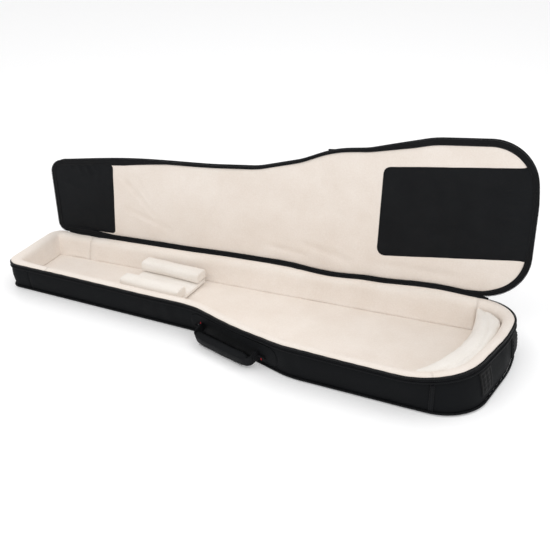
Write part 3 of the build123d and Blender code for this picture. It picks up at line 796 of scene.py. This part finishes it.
start_open, end_open = ring_index(ZIP_END_BODY_X, True), ring_index(ZIP_END_HEAD_X, True)
zip_run = span_between(end_open, start_open + COUNT if start_open < end_open else start_open)
gusset_run = span_between(ring_index(ZIP_END_BODY_X + 30.0, True), ring_index(-642.0, True))
rim_line = settle(tray(SHELL_TOP, 1.4))
dress(swept("rim_piping_cord", rim_line[zip_run], PIPING, body="tray"), "piping", "rim_piping")

# ---------------------------------------------------------------- tray: zipper tape and teeth
tape_rows = [(0.845, -1.6), (0.87, 0.4), (0.90, 0.8), (0.94, 0.6), (0.975, 0.1), (0.992, -1.2), (0.985, -3.0)]


def tape_ring(t, out):
    base = tray(t, out)
    s = np.arange(COUNT) * STEP
    base[:, :2] += outward(base[:, :2]) * (0.35 * np.sin(s / 6.5 + 3 * np.sin(s / 160.0)))[:, None]
    return settle(base)


tape = np.stack([tape_ring(t, out) for t, out in tape_rows], 1)
dress(surface("rim_zip_tape", tape[zip_run], "tray", 1.0), "zip_tape", "zip_tape")
teeth_line = settle(tray(0.978, 1.5))
dress(coil("rim_zip_coil", teeth_line[zip_run], (0, 0, 1), "tray", 2.6, 2.4), "zip_coil", "zip_teeth")
stitch_line = settle(tray(0.905, 1.5))
dress(stitches("rim_tape_stitching", stitch_line[zip_run], (0, 0, 1), "tray"), "zip_tape", material="thread")

end_tabs = []
for x in (ZIP_END_BODY_X + 16.0, ZIP_END_HEAD_X - 14.0):
    i = ring_index(x, True)
    rows_t = [(0.86, 0.9), (0.88, 2.6), (0.92, 3.4), (0.965, 3.0), (0.99, 1.4), (0.998, -0.8)]
    grid = np.stack([tape_ring(t, out)[i - 2:i + 3] for t, out in rows_t], 1)
    end_tabs.append(surface("tab", grid, None, 1.2))
dress(join("zip_end_patches", end_tabs, "tray"), "zip_tape", "zip_end_tabs", material="webbing")

# ---------------------------------------------------------------- tray: plush lining
lining_rows = [
    # inset from the wall's outer face, height above the floor or (rim, below the rim)
    (35.0, 22.0, 0), (33.0, 27.0, 0), (31.6, 34.0, 0), (30.4, 44.0, 0), (29.4, 54.0, 0),
    (29.0, -20.0, 1), (28.8, -15.0, 1), (28.2, -10.0, 1), (26.6, -5.6, 1), (24.0, -2.4, 1), (20.4, -0.4, 1),
    (16.0, 0.5, 1), (11.6, 0.2, 1), (7.8, -1.0, 1), (5.0, -2.8, 1), (3.4, -5.0, 1), (3.0, -8.0, 1),
]


def lining_ring(inset, height, from_rim):
    plan_floor, plan_rim = ring(FLOOR, DRAFT + inset), rim_ring(inset)
    rim = rim_z(plan_rim[:, 0])
    z = rim + height if from_rim else np.full(COUNT, height)
    share = np.clip(z / rim, 0, 1)[:, None]
    plan = plan_floor * (1 - share) + plan_rim * share
    points = np.column_stack([plan, z])
    normal = outward(plan)
    inward = np.clip((inset - 2.0) / 10.0, 0, 1)
    soft = 1.5 * wave(points, 85.0, 7) + 0.7 * wave(points, 30.0, 11)
    x, y = points[:, 0], points[:, 1]
    gather = bump(x, -600, 95) * np.sin(y / 5.2 + x / 19.0) * 1.3
    fold = -3.2 * bump(x, -536, 9) * (y > 0) - 2.2 * bump(x, 62, 10) * (y > 0)
    fold = fold - 1.8 * bump(x, -60, 13) * (y < 0)
    points[:, :2] += normal * ((soft + gather + fold) * inward)[:, None]
    points[:, 2] += (0.5 * wave(points, 40.0, 5) + 0.35 * gather) * inward * (height > -16)
    head = np.clip((-x - 600) / 50, 0, 1) * np.clip((y + 116) / 22, 0, 1)
    outer = np.clip((20.0 - inset) / 14.0, 0, 1) if from_rim else 0.0
    points[:, :2] += normal * (5.0 * head * outer)[:, None]
    points[:, 2] += 3.0 * head * (1.0 if from_rim and inset < 27 else 0.0)
    return settle(points)


lining = np.stack([lining_ring(*row) for row in lining_rows], 1)
lining_out = np.column_stack([outward(lining[:, 12, :2]), np.zeros(COUNT)])
lining_normal = np.stack([lining_out] * lining.shape[1], 1)
lining_back_head, lining_front_head = ring_index(LINING_SEAM_X, True), ring_index(LINING_SEAM_X, False)
LININGS = {
    "lining_pad_front": (lining_front_head, front_seam, "lining_front"),
    "lining_pad_body_end": (front_seam, back_seam, "lining_body_end"),
    "lining_pad_back": (back_seam, lining_back_head, "lining_back"),
    "lining_pad_head_end": (lining_back_head, lining_front_head, "lining_head_end"),
}
for name, (i, j, node_name) in LININGS.items():
    which = span_between(i, j)
    grid = lining[which].copy()
    pinch = seam_dip(len(which), grid.shape[1], 0.9, 1.2)
    grid += lining_normal[which] * pinch[..., None]
    grid[..., 2] -= pinch * 0.7
    dress(surface(name, grid, "tray", 2.2), "plush_lining", node_name, fill=0.8)

floor_plan = plan_patch(FLOOR, DRAFT + 30.5)
nu, nv = floor_plan.shape[:2]
edge = np.minimum.outer(np.minimum(np.arange(nu), np.arange(nu)[::-1]) * 9.0, np.full(nv, 999.0))
edge = np.minimum(edge, (np.minimum(np.arange(nv), np.arange(nv)[::-1]) * 8.0)[None])
floor_z = FLOOR_TOP - 3.0 * np.exp(-edge / 7.0) + 0.8 * wave(floor_plan, 70.0, 21)
floor_grid = np.concatenate([floor_plan, floor_z[..., None]], -1)
dress(surface("floor_pad", floor_grid, "tray", 3.5), "plush_lining", "floor_lining", "floor_foam", fill=0.7)

bottom_plan = plan_patch(FLOOR, DRAFT + 4.0, step=12.0)
nu, nv = bottom_plan.shape[:2]
quilt = np.minimum(np.abs(np.sin(np.arange(nu) * 12.0 / 95.0))[:, None] * 6, 1.0) * np.ones(nv)[None]
bottom_grid = np.concatenate([bottom_plan, (1.6 - 0.9 * quilt)[..., None]], -1)
dress(surface("base_panel", bottom_grid, "tray", 1.2, offset=1.0), "nylon_shell", "bottom_panel")

# ---------------------------------------------------------------- tray: body-end pad
end_pad = from_node("end_pad", "body_end_pad")
remesh(end_pad, 6.0, 3.0)


def shape_end_pad(p):
    """Follow the leaning rim: lean the pad in towards the head end and the back as it rises, most at its front
    corner.
    """
    q = p.copy()
    share = np.clip(p[:, 2] / 92.0, 0, 1)
    lean = np.clip((-p[:, 1] - 20) / 150, 0, 1) * np.clip((p[:, 0] - 520) / 110, 0, 1)
    q[:, 0] -= (13.0 + 27.0 * lean) * share
    q[:, 1] += 16.0 * lean * share
    return q


reshape(end_pad, shape_end_pad)
puff(end_pad, 6.0)
finish_soft(end_pad)


def crease_end_pad(p):
    q = p.copy()
    arc = np.hypot(p[:, 0] - 330, p[:, 1] - 30)
    top = np.clip((p[:, 2] - 70) / 12, 0, 1)
    away = arc - (262 + 0.00045 * (p[:, 1] - 30) ** 2)
    q[:, 2] -= top * (3.2 * np.exp(-(away / 4.5) ** 2)) - top * 1.2 * np.exp(-((away + 16) / 12) ** 2)
    q[:, 2] += top * 1.1 * wave(p, 38.0, 31)
    q[:, 0] += 1.6 * wave(p, 55.0, 33)
    return settle(q)


reshape(end_pad, crease_end_pad)
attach(end_pad, "tray")
dress(end_pad, "plush_white", "body_end_pad", fill=0.8)

# ---------------------------------------------------------------- tray: body-end trim
seam_index = front_seam
strip_t = np.linspace(0.075, 0.80, 22)
strip_rise = np.array([0.3, 1.7, 0.3])[:, None]
strip = wall_patch([seam_index + k for k in (-1, 0, 1)], strip_t, strip_rise)
dress(surface("seam_strip", strip, "tray", 1.0), "webbing", "corner_seam_strip")
for k, shift in enumerate((-0.72, 0.72)):
    low = wall_patch([seam_index - 1, seam_index, seam_index + 1], strip_t, 1.6)
    line = low[1] + (low[2] - low[1]) * shift if shift > 0 else low[1] + (low[0] - low[1]) * -shift
    n = np.append(outward(shell[:, 8, :2])[seam_index], 0)
    dress(stitches(f"seam_stitching_{k + 1}", line, n, "tray"), "webbing", material="thread")


def bumper(name, node_name, middle_y, half, studs):
    """A moulded pad with a raised frame, on the body end."""
    side = [i for i in range(COUNT) if reference[i, 0] > 600 and abs(reference[i, 1] - middle_y) < half]
    t_values = np.linspace(0.25, 0.82, 25)
    fine = np.linspace(side[0], side[-1], 25)
    grid = []
    for f in fine:
        low, part = int(f), f - int(f)
        pair = wall_patch([low, low + 1], t_values, 0.0)
        grid.append(pair[0] * (1 - part) + pair[1] * part)
    grid = np.array(grid)
    n = np.append(outward(shell[:, 8, :2])[(side[0] + side[-1]) // 2], 0)
    u, v = np.meshgrid(np.linspace(-1, 1, 25), np.linspace(-1, 1, 25), indexing="ij")
    reach = np.maximum(np.abs(u), np.abs(v))
    rise = np.where(reach > 0.99, -0.6, np.where(reach > 0.80, 3.6, 1.9))
    if studs:
        on = (np.abs(np.abs(u) - 0.33) < 0.17) & (np.abs((v * 2.5 + 5) % 1 - 0.5) < 0.3) & (reach < 0.75)
        rise = np.where(on, 4.2, rise)
    else:
        ridge = (np.abs((v * 3.0 + 6) % 1 - 0.5) < 0.27) & (reach < 0.78)
        rise = np.where(ridge, 6.2, rise)
    dress(surface(name, grid + n * rise[..., None], "tray", 1.2), "rubber", node_name)


bumper("bumper_pad_front", "bumper_front", -80.0, 31.0, True)
bumper("bumper_pad_back", "bumper_back", 103.0, 25.0, False)

# ---------------------------------------------------------------- carry handle
swing = JOINTS["handle_swing"]
along_wall = -np.array(swing["axis"])
away = np.array([along_wall[1], -along_wall[0], 0.0])
pivot = np.array(swing["pos_m"]) / MM
upright = np.array([0.0, 0.0, 1.0])
PIVOT_OUT, REACH, HANDLE_HALF, DROOP = 17.0, 46.0, 93.0, math.radians(20.0)
TAB_OUT, TAB_LONG, WEB, WEB_WIDE = 6.6, 23.0, 2.4, 26.0
base_point = pivot - away * PIVOT_OUT
out_droop = away * math.cos(DROOP) - upright * math.sin(DROOP)
up_droop = upright * math.cos(DROOP) + away * math.sin(DROOP)

patch_low, patch_high = (base_point + along_wall * s for s in (-133.0, 151.0))
patch_from = int(np.argmin(np.hypot(*(reference - patch_low[:2] - 5 * away[:2]).T)))
patch_to = int(np.argmin(np.hypot(*(reference - patch_high[:2] - 5 * away[:2]).T)))
patch_u = np.arange(patch_from, patch_to + 1)
patch_t = np.linspace(0.115, 0.79, 18)
from_end = np.minimum(np.arange(len(patch_u)), np.arange(len(patch_u))[::-1]) * STEP
cut = 0.30 * (1 - np.sqrt(1 - np.clip(1 - from_end / 27.0, 0, 1) ** 2))
rise = np.full((len(patch_u), len(patch_t)), 1.8)
rise[0] = rise[-1] = 0.2
rise[:, 0] = rise[:, -1] = 0.2
middle = (patch_t[0] + patch_t[-1]) / 2
patch = np.stack([
    wall_patch([i], middle + (patch_t - middle) * (1 - c / 0.34), rise[k:k + 1])[0]
    for k, (i, c) in enumerate(zip(patch_u, cut))])
dress(surface("handle_panel", patch, "tray", 1.0), "nylon_shell", "handle_patch")
for k, t in enumerate((0.14, 0.765)):
    line = wall_patch(patch_u[1:-1], [t], 2.5)[:, 0]
    row = stitches(f"handle_panel_stitching_{k + 1}", line, away, "tray")
    dress(row, "nylon_shell", material="thread")


def tab_piece(name, node_name, side):
    """A webbing tab folded out of the wall into the ear that the handle turns on."""
    flat_end = side * (HANDLE_HALF + TAB_LONG)
    ear_x = side * (HANDLE_HALF + WEB / 2 + 0.15)
    bend = 4.0
    route = [(flat_end, TAB_OUT - 0.8), (side * (HANDLE_HALF + 12), TAB_OUT)]
    for k in range(6):
        a = math.radians(90 * k / 5)
        route.append((ear_x + side * bend * (1 - math.sin(a)), TAB_OUT + bend * (1 - math.cos(a))))
    tip = PIVOT_OUT + WEB_WIDE / 2
    for f in np.linspace(0.15, 1, 9):
        route.append((ear_x, TAB_OUT + bend + (tip - TAB_OUT - bend) * f))
    centre = np.array([base_point + along_wall * x + away * o for x, o in route])
    half = np.full(len(route), WEB_WIDE / 2)
    for k, (_, o) in enumerate(route):
        beyond = max(0.0, o - PIVOT_OUT)
        half[k] = math.sqrt(max(9.0, (WEB_WIDE / 2) ** 2 - beyond ** 2))
    rows_v = np.linspace(-1, 1, 9)
    grid = centre[:, None] + upright * (half[:, None] * rows_v[None])[..., None]
    piece = surface(name, grid, None, WEB, offset=0.0)
    layer = [base_point + along_wall * side * x + away * (TAB_OUT - 3.1)
             for x in (HANDLE_HALF + 1, HANDLE_HALF + TAB_LONG)]
    under = swept(name + "_fold", layer, band(WEB_WIDE - 1, 4.2, 0.6)[:, ::-1], up=away)
    return dress(join(name, [piece, under], "tray"), "webbing", node_name)


tab_piece("handle_tab_head", "handle_anchor_head", -1)
tab_piece("handle_tab_body", "handle_anchor_body", 1)

strap_x = HANDLE_HALF - WEB / 2 - 0.15
reach = REACH - PIVOT_OUT
strap_route = [(-strap_x, 13.0), (-strap_x, 6.0), (-strap_x, -4.0), (-strap_x, -(reach - 16.0))]
for k in range(1, 8):
    a = math.radians(90 * k / 8)
    strap_route.append((-strap_x + 16 * (1 - math.cos(a)), -(reach - 16) - 16 * math.sin(a)))
strap_route += [(-strap_x + 16, -reach), (-60, -reach), (0, -reach)]
strap_route += [(-x, y) for x, y in strap_route[-2::-1]]
strap_line = np.array([pivot + along_wall * x - out_droop * y for x, y in strap_route])
strap_half = np.array([math.sqrt(max(9.0, 169.0 - max(0.0, y) ** 2)) for _, y in strap_route])
strap_grid = strap_line[:, None] + up_droop * (strap_half[:, None] * np.linspace(-1, 1, 9)[None])[..., None]
dress(surface("handle_strap", strap_grid, "handle", WEB, offset=0.0), "webbing", "handle_webbing")

grip_u = np.linspace(-1, 1, 61)
grip_section = []
for k in range(32):
    a = 2 * math.pi * k / 32
    c, s = math.cos(a), math.sin(a)
    grip_section.append((math.copysign(abs(c) ** 0.62, c), math.copysign(abs(s) ** 0.62, s)))
grip_section = np.array(grip_section)
grip_rows = []
for u in grip_u:
    end = max(0.0, 1 - abs(u) ** 16)
    swell = 1 + 0.06 * math.cos(u * math.pi / 2)
    half_wide = 15.6 * (0.80 + 0.20 * end) * swell
    half_thick = 10.6 * (0.55 + 0.45 * end) * (1 + 0.03 * math.cos(3 * math.pi * u))
    centre = pivot + along_wall * (u * 83.5) + out_droop * (reach - 1.6 * u * u - 4.6)
    crimp = 1 + 0.02 * math.sin(u * 38)
    grip_rows.append(centre + up_droop * (grip_section[:, :1] * half_wide * crimp)
                     + out_droop * (grip_section[:, 1:] * half_thick))
grip_grid = np.array(grip_rows)
grip_faces = grid_faces(61, 32, False, True) + [tuple(range(32))[::-1], tuple(range(60 * 32, 61 * 32))]
grip = link("handle_sleeve", grip_grid.reshape(-1, 3), grip_faces, "handle")
dress(grip, "grip", "handle_grip", fill=0.9)
for k, share in enumerate((-0.86, 0.86)):
    line = [pivot + along_wall * x + out_droop * (reach + 5.3) + up_droop * share * 13.2
            for x in np.linspace(-70, 70, 40)]
    dress(stitches(f"grip_stitching_{k + 1}", line, out_droop, "handle"), "grip", material="thread")

rows_v = np.linspace(-1, 1, 13)
for name, side in (("red_tab_head", -1), ("red_tab_body", 1)):
    middle = base_point + along_wall * side * (HANDLE_HALF + 7.6) + away * (TAB_OUT + 1.9)
    ribbon = np.stack([middle + upright * 12.6 * rows_v[:, None] + (along_wall * w)[None]
                       + away * (0.8 * (1 - rows_v ** 2) + r)[:, None]
                       for w, r in ((-1.3, 0.0), (0.0, 0.7), (1.3, 0.0))], 0)
    dress(surface(name, ribbon, "tray", 1.0, offset=0.0), "red_tab", "bartacks")

# ---------------------------------------------------------------- neck cradle
CRADLE = {"cradle_floor": ("cradle_base", 4.0, 2.0), "cradle_pad_front": ("cradle_ear_front", 5.0, 5.0),
          "cradle_pad_back": ("cradle_ear_back", 5.0, 5.0)}


def ruffle(p):
    """The plush's uneven top and sides."""
    q = p.copy()
    q[:, 2] += 1.4 * wave(p, 46.0, 41) * np.clip((p[:, 2] - 45) / 25, 0, 1)
    q[:, 1] += 1.0 * wave(p, 37.0, 43)
    return q


for name, (node_name, voxel, cap) in CRADLE.items():
    block = from_node(name, node_name)
    remesh(block, voxel, 1.6)
    puff(block, cap)
    finish_soft(block)
    reshape(block, ruffle)
    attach(block, "cradle")
    dress(block, "plush_white", node_name, fill=0.75)

# ---------------------------------------------------------------- lid: shell
# height above the rim's plane and inset, from the zipper side to the outer side
gusset_rows = [(0.8, 1.6), (1.8, 0.4), (3.6, -0.6), (6.5, -1.3), (10.0, -1.7), (13.5, -1.4), (16.0, -0.4),
               (17.4, 1.2)]


def lid_soft(plan, height):
    """The open lid is not quite flat: its free edge bows and its panels are dented."""
    x, y = plan[..., 0], plan[..., 1]
    free = np.clip((HINGE_MID_Y + HINGE_SLOPE * x - y) / 300.0, 0, 1.2)
    bow = 5.0 * free ** 2 * np.sin(x / 260.0 + 0.8) - 3.0 * free ** 2 * bump(x, 90, 260)
    return height + (bow + 0.7 * wave(plan, 120.0, 51))


def lapped(plan):
    """Where the plush laps over the zipper band: along the neck and the hinge, not round the ends."""
    x, y = plan[:, 0], plan[:, 1]
    front = np.clip((-y - 60) / 30, 0, 1) * np.clip((400 - np.abs(x + 20)) / 130, 0, 1)
    back = np.clip((y - HINGE_MID_Y - HINGE_SLOPE * x + 60) / 30, 0, 1)
    back = back * np.clip((570 - np.abs(x)) / 70, 0, 1)
    return np.maximum(front * 0.62, back * 0.62)


def lid_strip(rows_list, ripple=0.0, lap=False):
    s = np.arange(COUNT) * STEP
    made = []
    for k, (height, inset) in enumerate(rows_list):
        plan = lid_ring(height, inset)
        if lap:
            share = lapped(plan)[:, None]
            plan = plan * (1 - share) + lid_ring(height, 0.0) * share
        h = lid_soft(plan, np.full(COUNT, height))
        if ripple:
            mid = math.sin(math.pi * k / (len(rows_list) - 1))
            strength = 0.35 + 0.9 * bump(plan[:, 0], 640, 120) + 0.5 * bump(plan[:, 0], -640, 90)
            h = h + ripple * mid * strength * np.sin(s / 5.6 + 4 * np.sin(s / 210.0))
        made.append(lid_space(plan, h))
    return np.stack(made, 1)


side_band = surface("lid_side_band", lid_strip(gusset_rows), "lid", 1.6, True)
dress(side_band, "nylon_shell", "lid_gusset", "lid_foam", fill=0.85)
piping_plan = lid_ring(18.4, -1.4)
piping_line = lid_space(piping_plan, lid_soft(piping_plan, np.full(COUNT, 18.4)))
lid_cord = swept("lid_piping_cord", piping_line, PIPING, up=(0, 1, 0), closed=True, body="lid")
dress(lid_cord, "piping", "lid_piping")


def edge_distance(grid):
    """Rough distance from every grid point to the grid's border, in millimetres."""
    nu, nv = grid.shape[:2]
    du = np.linalg.norm(np.diff(grid, axis=0), axis=-1).mean()
    dv = np.linalg.norm(np.diff(grid, axis=1), axis=-1).mean(axis=1)
    dv = np.r_[dv, dv[-1]][:nu]
    a = np.minimum(np.arange(nu), np.arange(nu)[::-1])[:, None] * du
    b = np.minimum(np.arange(nv), np.arange(nv)[::-1])[None] * dv[:, None]
    return np.minimum(a, b)


outer_plan = plan_patch(LID, LID_INSET + 4.4 + 0.6, 0.6, change=lid_wave)
d = edge_distance(outer_plan)
outer_h = 18.2 + 2.5 * (1 - np.exp(-d / 10.0)) + 0.5 * wave(outer_plan, 60.0, 61)
outer_grid = lid_space(outer_plan, lid_soft(outer_plan, outer_h))
outer_shell = surface("lid_outer_shell", outer_grid, "lid", 1.4, offset=1.0)
dress(outer_shell, "nylon_shell", "lid_outer_panel", fill=0.8)

# ---------------------------------------------------------------- lid: zipper band and teeth
band_rows = [(2.6, -0.3), (1.2, 0.2), (0.4, 1.2), (-0.1, 3.4), (0.2, 5.6), (0.9, 6.6), (0.3, 7.6), (0.1, 9.6),
             (0.7, 12.2), (2.6, 13.6)]
dress(surface("lid_zip_band", lid_strip(band_rows, 0.9, True), "lid", 0.9, True), "zip_tape", "lid_zip_tape")
teeth_plan = lid_ring(1.6, -1.6)
lid_teeth = lid_space(teeth_plan, lid_soft(teeth_plan, np.full(COUNT, 1.6)))
dress(coil("lid_zip_coil", lid_teeth[zip_run], (0, 1, 0), "lid", 2.4, 2.0), "zip_coil", "lid_zip_teeth")
for k, inset in enumerate((4.6, 11.2)):
    plan = lid_ring(0.0, inset)
    share = lapped(plan)[:, None]
    plan = plan * (1 - share) + lid_ring(0.0, 0.0) * share
    line = lid_space(plan, lid_soft(plan, np.full(COUNT, -0.35)))
    dress(stitches(f"lid_band_stitching_{k + 1}", line, (0, -1, 0), "lid", closed=True), "zip_tape",
          material="thread")

# ---------------------------------------------------------------- lid: plush lining and wear patches


def lining_edge(plan):
    """The plush's border follows the zipper band's inner edge, a little unevenly."""
    p = lid_wave(plan)
    return p + outward(plan) * ((LID_BAND - 1.2) * lapped(plan) + 0.9 * wave(plan, 23.0, 75))[:, None]


lining_plan = plan_patch(LID, LID_INSET + LID_BAND - 1.2, LID_BAND - 1.2, step=5.0, change=lining_edge)


def crease(plan, start, end, wide, deep):
    """A soft crease that runs between two points and fades out at both."""
    start, run = np.array(start, float), np.subtract(end, start).astype(float)
    f = ((plan - start) @ run) / (run @ run)
    near = np.linalg.norm(plan - start - run * np.clip(f, 0, 1)[..., None], axis=-1)
    side = (plan[..., 0] - start[0]) * run[1] - (plan[..., 1] - start[1]) * run[0]
    side = side / np.linalg.norm(run) / wide
    fade = np.clip(1 - (2 * np.clip(f, 0, 1) - 1) ** 2, 0, 1) ** 0.7
    return deep * fade * np.exp(-(near / wide) ** 2) * (1 + 0.8 * np.tanh(side))


LINING_FOLDS = [
    ((-445, -75), (-335, 70), 9, 2.2), ((-405, -95), (-352, 30), 8, 1.7), ((-450, 25), (-300, 92), 10, 2.0),
    ((-250, -100), (-285, 40), 10, 1.3), ((-120, -95), (-195, 95), 11, 1.8), ((-40, 110), (95, 138), 10, 2.4),
    ((60, 95), (215, 150), 12, 2.2), ((240, 140), (520, 172), 12, 2.0), ((120, -120), (165, -20), 10, 1.2),
    ((-10, -90), (40, 60), 12, 1.0), ((560, -160), (610, -140), 8, 1.2),
]


def lining_height(plan):
    """Face of the lid's lining: brushed, with broad soft dents and a few creases."""
    height = 1.7 + 0.9 * wave(plan, 90.0, 71) + 0.35 * wave(plan, 33.0, 73)
    for fold_line in LINING_FOLDS:
        height = height + crease(plan, *fold_line)
    return height


d = edge_distance(lining_plan)
lining_h = lining_height(lining_plan) + 2.4 * np.exp(-d / 6.0)
lid_lining_grid = lid_space(lining_plan, lid_soft(lining_plan, lining_h))
dress(surface("lid_plush", lid_lining_grid, "lid", 2.4, offset=1.0), "plush_lining", "lid_lining", fill=0.6)


def wear_patch(name, node_name, points, radii, lift, folds):
    plan = quad_patch(points, radii, 4.5)
    d = edge_distance(plan)
    lift_by = lift * (1 - np.exp(-d / 5.0)) - 0.5
    creases = 0.55 * wave(plan * np.array([1.0, 2.2]), 46.0, 81) + 0.4 * wave(plan, 21.0, 83)
    for fold_line in folds:
        creases = creases + crease(plan, *fold_line)
    height = lining_height(plan) - lift_by - creases * np.clip(d / 12, 0, 1)
    grid = lid_space(plan, lid_soft(plan, height))
    dress(surface(name, grid, "lid", 1.0, offset=1.0), "wear_patch", node_name)
    inner = np.vstack([plan[2:-2, 1], plan[-2, 2:-2], plan[-3:1:-1, -2], plan[1, -3:1:-1]])
    line = lid_space(inner, lid_soft(inner, lining_height(inner) - lift * 0.75))
    seam = stitches(name + "_stitching", line, (0, -1, 0), "lid", closed=True)
    dress(seam, "wear_patch", material="thread")


wear_patch("bridge_panel", "bridge_patch",
           [(305, -121), (664, -131), (660, 109), (274, 120)], [24, 20, 18, 24], 1.7,
           [((575, -70), (668, -62), 7, 1.6), ((600, -38), (668, -34), 6, 1.4), ((560, -8), (668, 2), 8, 1.5),
            ((605, 34), (666, 40), 6, 1.5), ((585, 74), (664, 66), 7, 1.4), ((390, 30), (430, 90), 10, 1.0),
            ((640, -120), (655, -70), 6, 1.6)])
head_back = HINGE_MID_Y - HINGE_SLOPE * HALF - LID_BAND
head_patch_back = HINGE_MID_Y - HINGE_SLOPE * 478 - LID_BAND - 1
wear_patch("headstock_panel", "headstock_patch",
           [(-652, -106), (-452, -107), (-487, head_patch_back), (-666, head_back + 2)],
           [34, 18, 14, 16], 1.5,
           [((-572, -108), (-560, -72), 6, 2.0), ((-548, -108), (-532, -66), 6, 2.2),
            ((-522, -108), (-512, -80), 5, 1.7), ((-600, -106), (-588, -84), 5, 1.4),
            ((-500, -108), (-520, -40), 7, 1.3), ((-640, -50), (-560, -20), 9, 1.4),
            ((-600, 30), (-520, 60), 9, 1.2), ((-560, 95), (-535, 60), 7, 1.3)])

# ---------------------------------------------------------------- lid: outside pockets
def dent(p):
    """Broad dents in an empty pocket's face."""
    q = p.copy()
    q[:, 1] += 1.3 * wave(p, 75.0, 91)
    return q


for name, node_name, voxel in (("pocket_body", "body_pocket", 7.0), ("pocket_head", "head_pocket", 6.0)):
    pad = from_node(name, node_name)
    remesh(pad, voxel, 2.5)
    puff(pad, 6.0, 2.5)
    finish_soft(pad)
    reshape(pad, dent)
    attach(pad, "lid")
    dress(pad, "nylon_shell", node_name, fill=0.5)

# ---------------------------------------------------------------- hinge
gusset = np.stack([
    settle(tray(0.842, -1.0))[gusset_run],
    settle(tray(0.87, 0.8))[gusset_run],
    settle(tray(0.93, 1.9))[gusset_run],
    settle(tray(0.975, 3.2))[gusset_run],
    settle(tray(1.0, 5.4))[gusset_run],
    lid_space(lid_ring(3.0, -1.9), 3.0)[gusset_run],
    lid_space(lid_ring(5.0, -1.9), 5.0)[gusset_run],
], 1)
strip = surface("hinge_gusset_strip", gusset, None, 1.2)


def span_hinge(obj):
    """Bake into its mesh the placement of a strip that runs from the tray to the lid."""
    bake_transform(obj)


span_hinge(strip)
dress(strip, "zip_tape", "hinge_gusset")
fold = np.stack([
    settle(tray(0.96, -4.6))[gusset_run],
    settle(tray(0.99, -2.4))[gusset_run],
    settle(tray(1.0, 0.0, -0.6))[gusset_run],
    settle(tray(1.0, 2.2, -1.6))[gusset_run],
    lid_space(lid_ring(0.3, 0.2), 0.2)[gusset_run],
    lid_space(lid_ring(0.3, 2.6), -0.3)[gusset_run],
    lid_space(lid_ring(0.3, 4.6), 0.4)[gusset_run],
], 1)
inner = surface("hinge_fold_strip", fold, None, 1.0)
span_hinge(inner)
dress(inner, "zip_tape", "hinge_fold")

# ---------------------------------------------------------------- floor, light and camera
bpy.ops.mesh.primitive_plane_add(size=60, location=(0, 0, -0.0005))
ground = bpy.context.object
ground.name = "studio_floor"
g = Nodes("studio_floor")
speck = g.noise(40.0, 2.0)
paper = g.mix(speck, (0.86, 0.86, 0.865), (0.88, 0.88, 0.885))
g.finish(paper, g.span(speck, 0.3, 0.7, 0.38, 0.46), speck, 0.05, 0.05)
g.shader.inputs["Emission Color"].default_value = (1.0, 1.0, 1.0, 1)
g.shader.inputs["Emission Strength"].default_value = 0.22
ground.data.materials.append(g.material)

world = bpy.data.worlds.new("studio")
bpy.context.scene.world = world
world.use_nodes = True
world.node_tree.nodes["Background"].inputs["Color"].default_value = (1.0, 1.0, 1.0, 1)
world.node_tree.nodes["Background"].inputs["Strength"].default_value = 0.77


def softbox(name, place, target, size, power, colour=(1, 1, 1)):
    data = bpy.data.lights.new(name, "AREA")
    data.shape = "RECTANGLE"
    data.size, data.size_y = size
    data.energy = power
    data.color = colour
    lamp = bpy.data.objects.new(name, data)
    bpy.context.scene.collection.objects.link(lamp)
    lamp.location = place
    lamp.rotation_euler = (Vector(target) - Vector(place)).to_track_quat("-Z", "Y").to_euler()


softbox("key_light", (-0.9, -1.6, 2.6), (0.1, 0.1, 0.0), (2.4, 1.6), 20.0, (1.0, 0.99, 0.97))
softbox("top_light", (0.4, 0.9, 3.0), (0.1, 0.1, 0.0), (3.4, 2.2), 20.0)
softbox("side_light", (2.4, -1.0, 1.3), (0.4, -0.1, 0.05), (1.2, 1.6), 7.0, (0.97, 0.99, 1.0))

FOCAL_PX, YAW, ELEVATION, DISTANCE = 904.0, 25.77, 27.88, 2.3757
TARGET = np.array([0.0203, 0.1115, 0.085])
yaw, tip = math.radians(YAW), math.radians(ELEVATION)
look = np.array([-math.sin(yaw) * math.cos(tip), math.cos(yaw) * math.cos(tip), -math.sin(tip)])
lens = bpy.data.cameras.new("camera")
lens.sensor_width = 36.0
lens.lens = FOCAL_PX / 550.0 * lens.sensor_width
camera = bpy.data.objects.new("camera", lens)
bpy.context.scene.collection.objects.link(camera)
camera.location = Vector(TARGET - look * DISTANCE)
camera.rotation_euler = (math.pi / 2 - tip, 0.0, yaw)
bpy.context.scene.camera = camera
bpy.context.scene.view_settings.view_transform = "Standard"
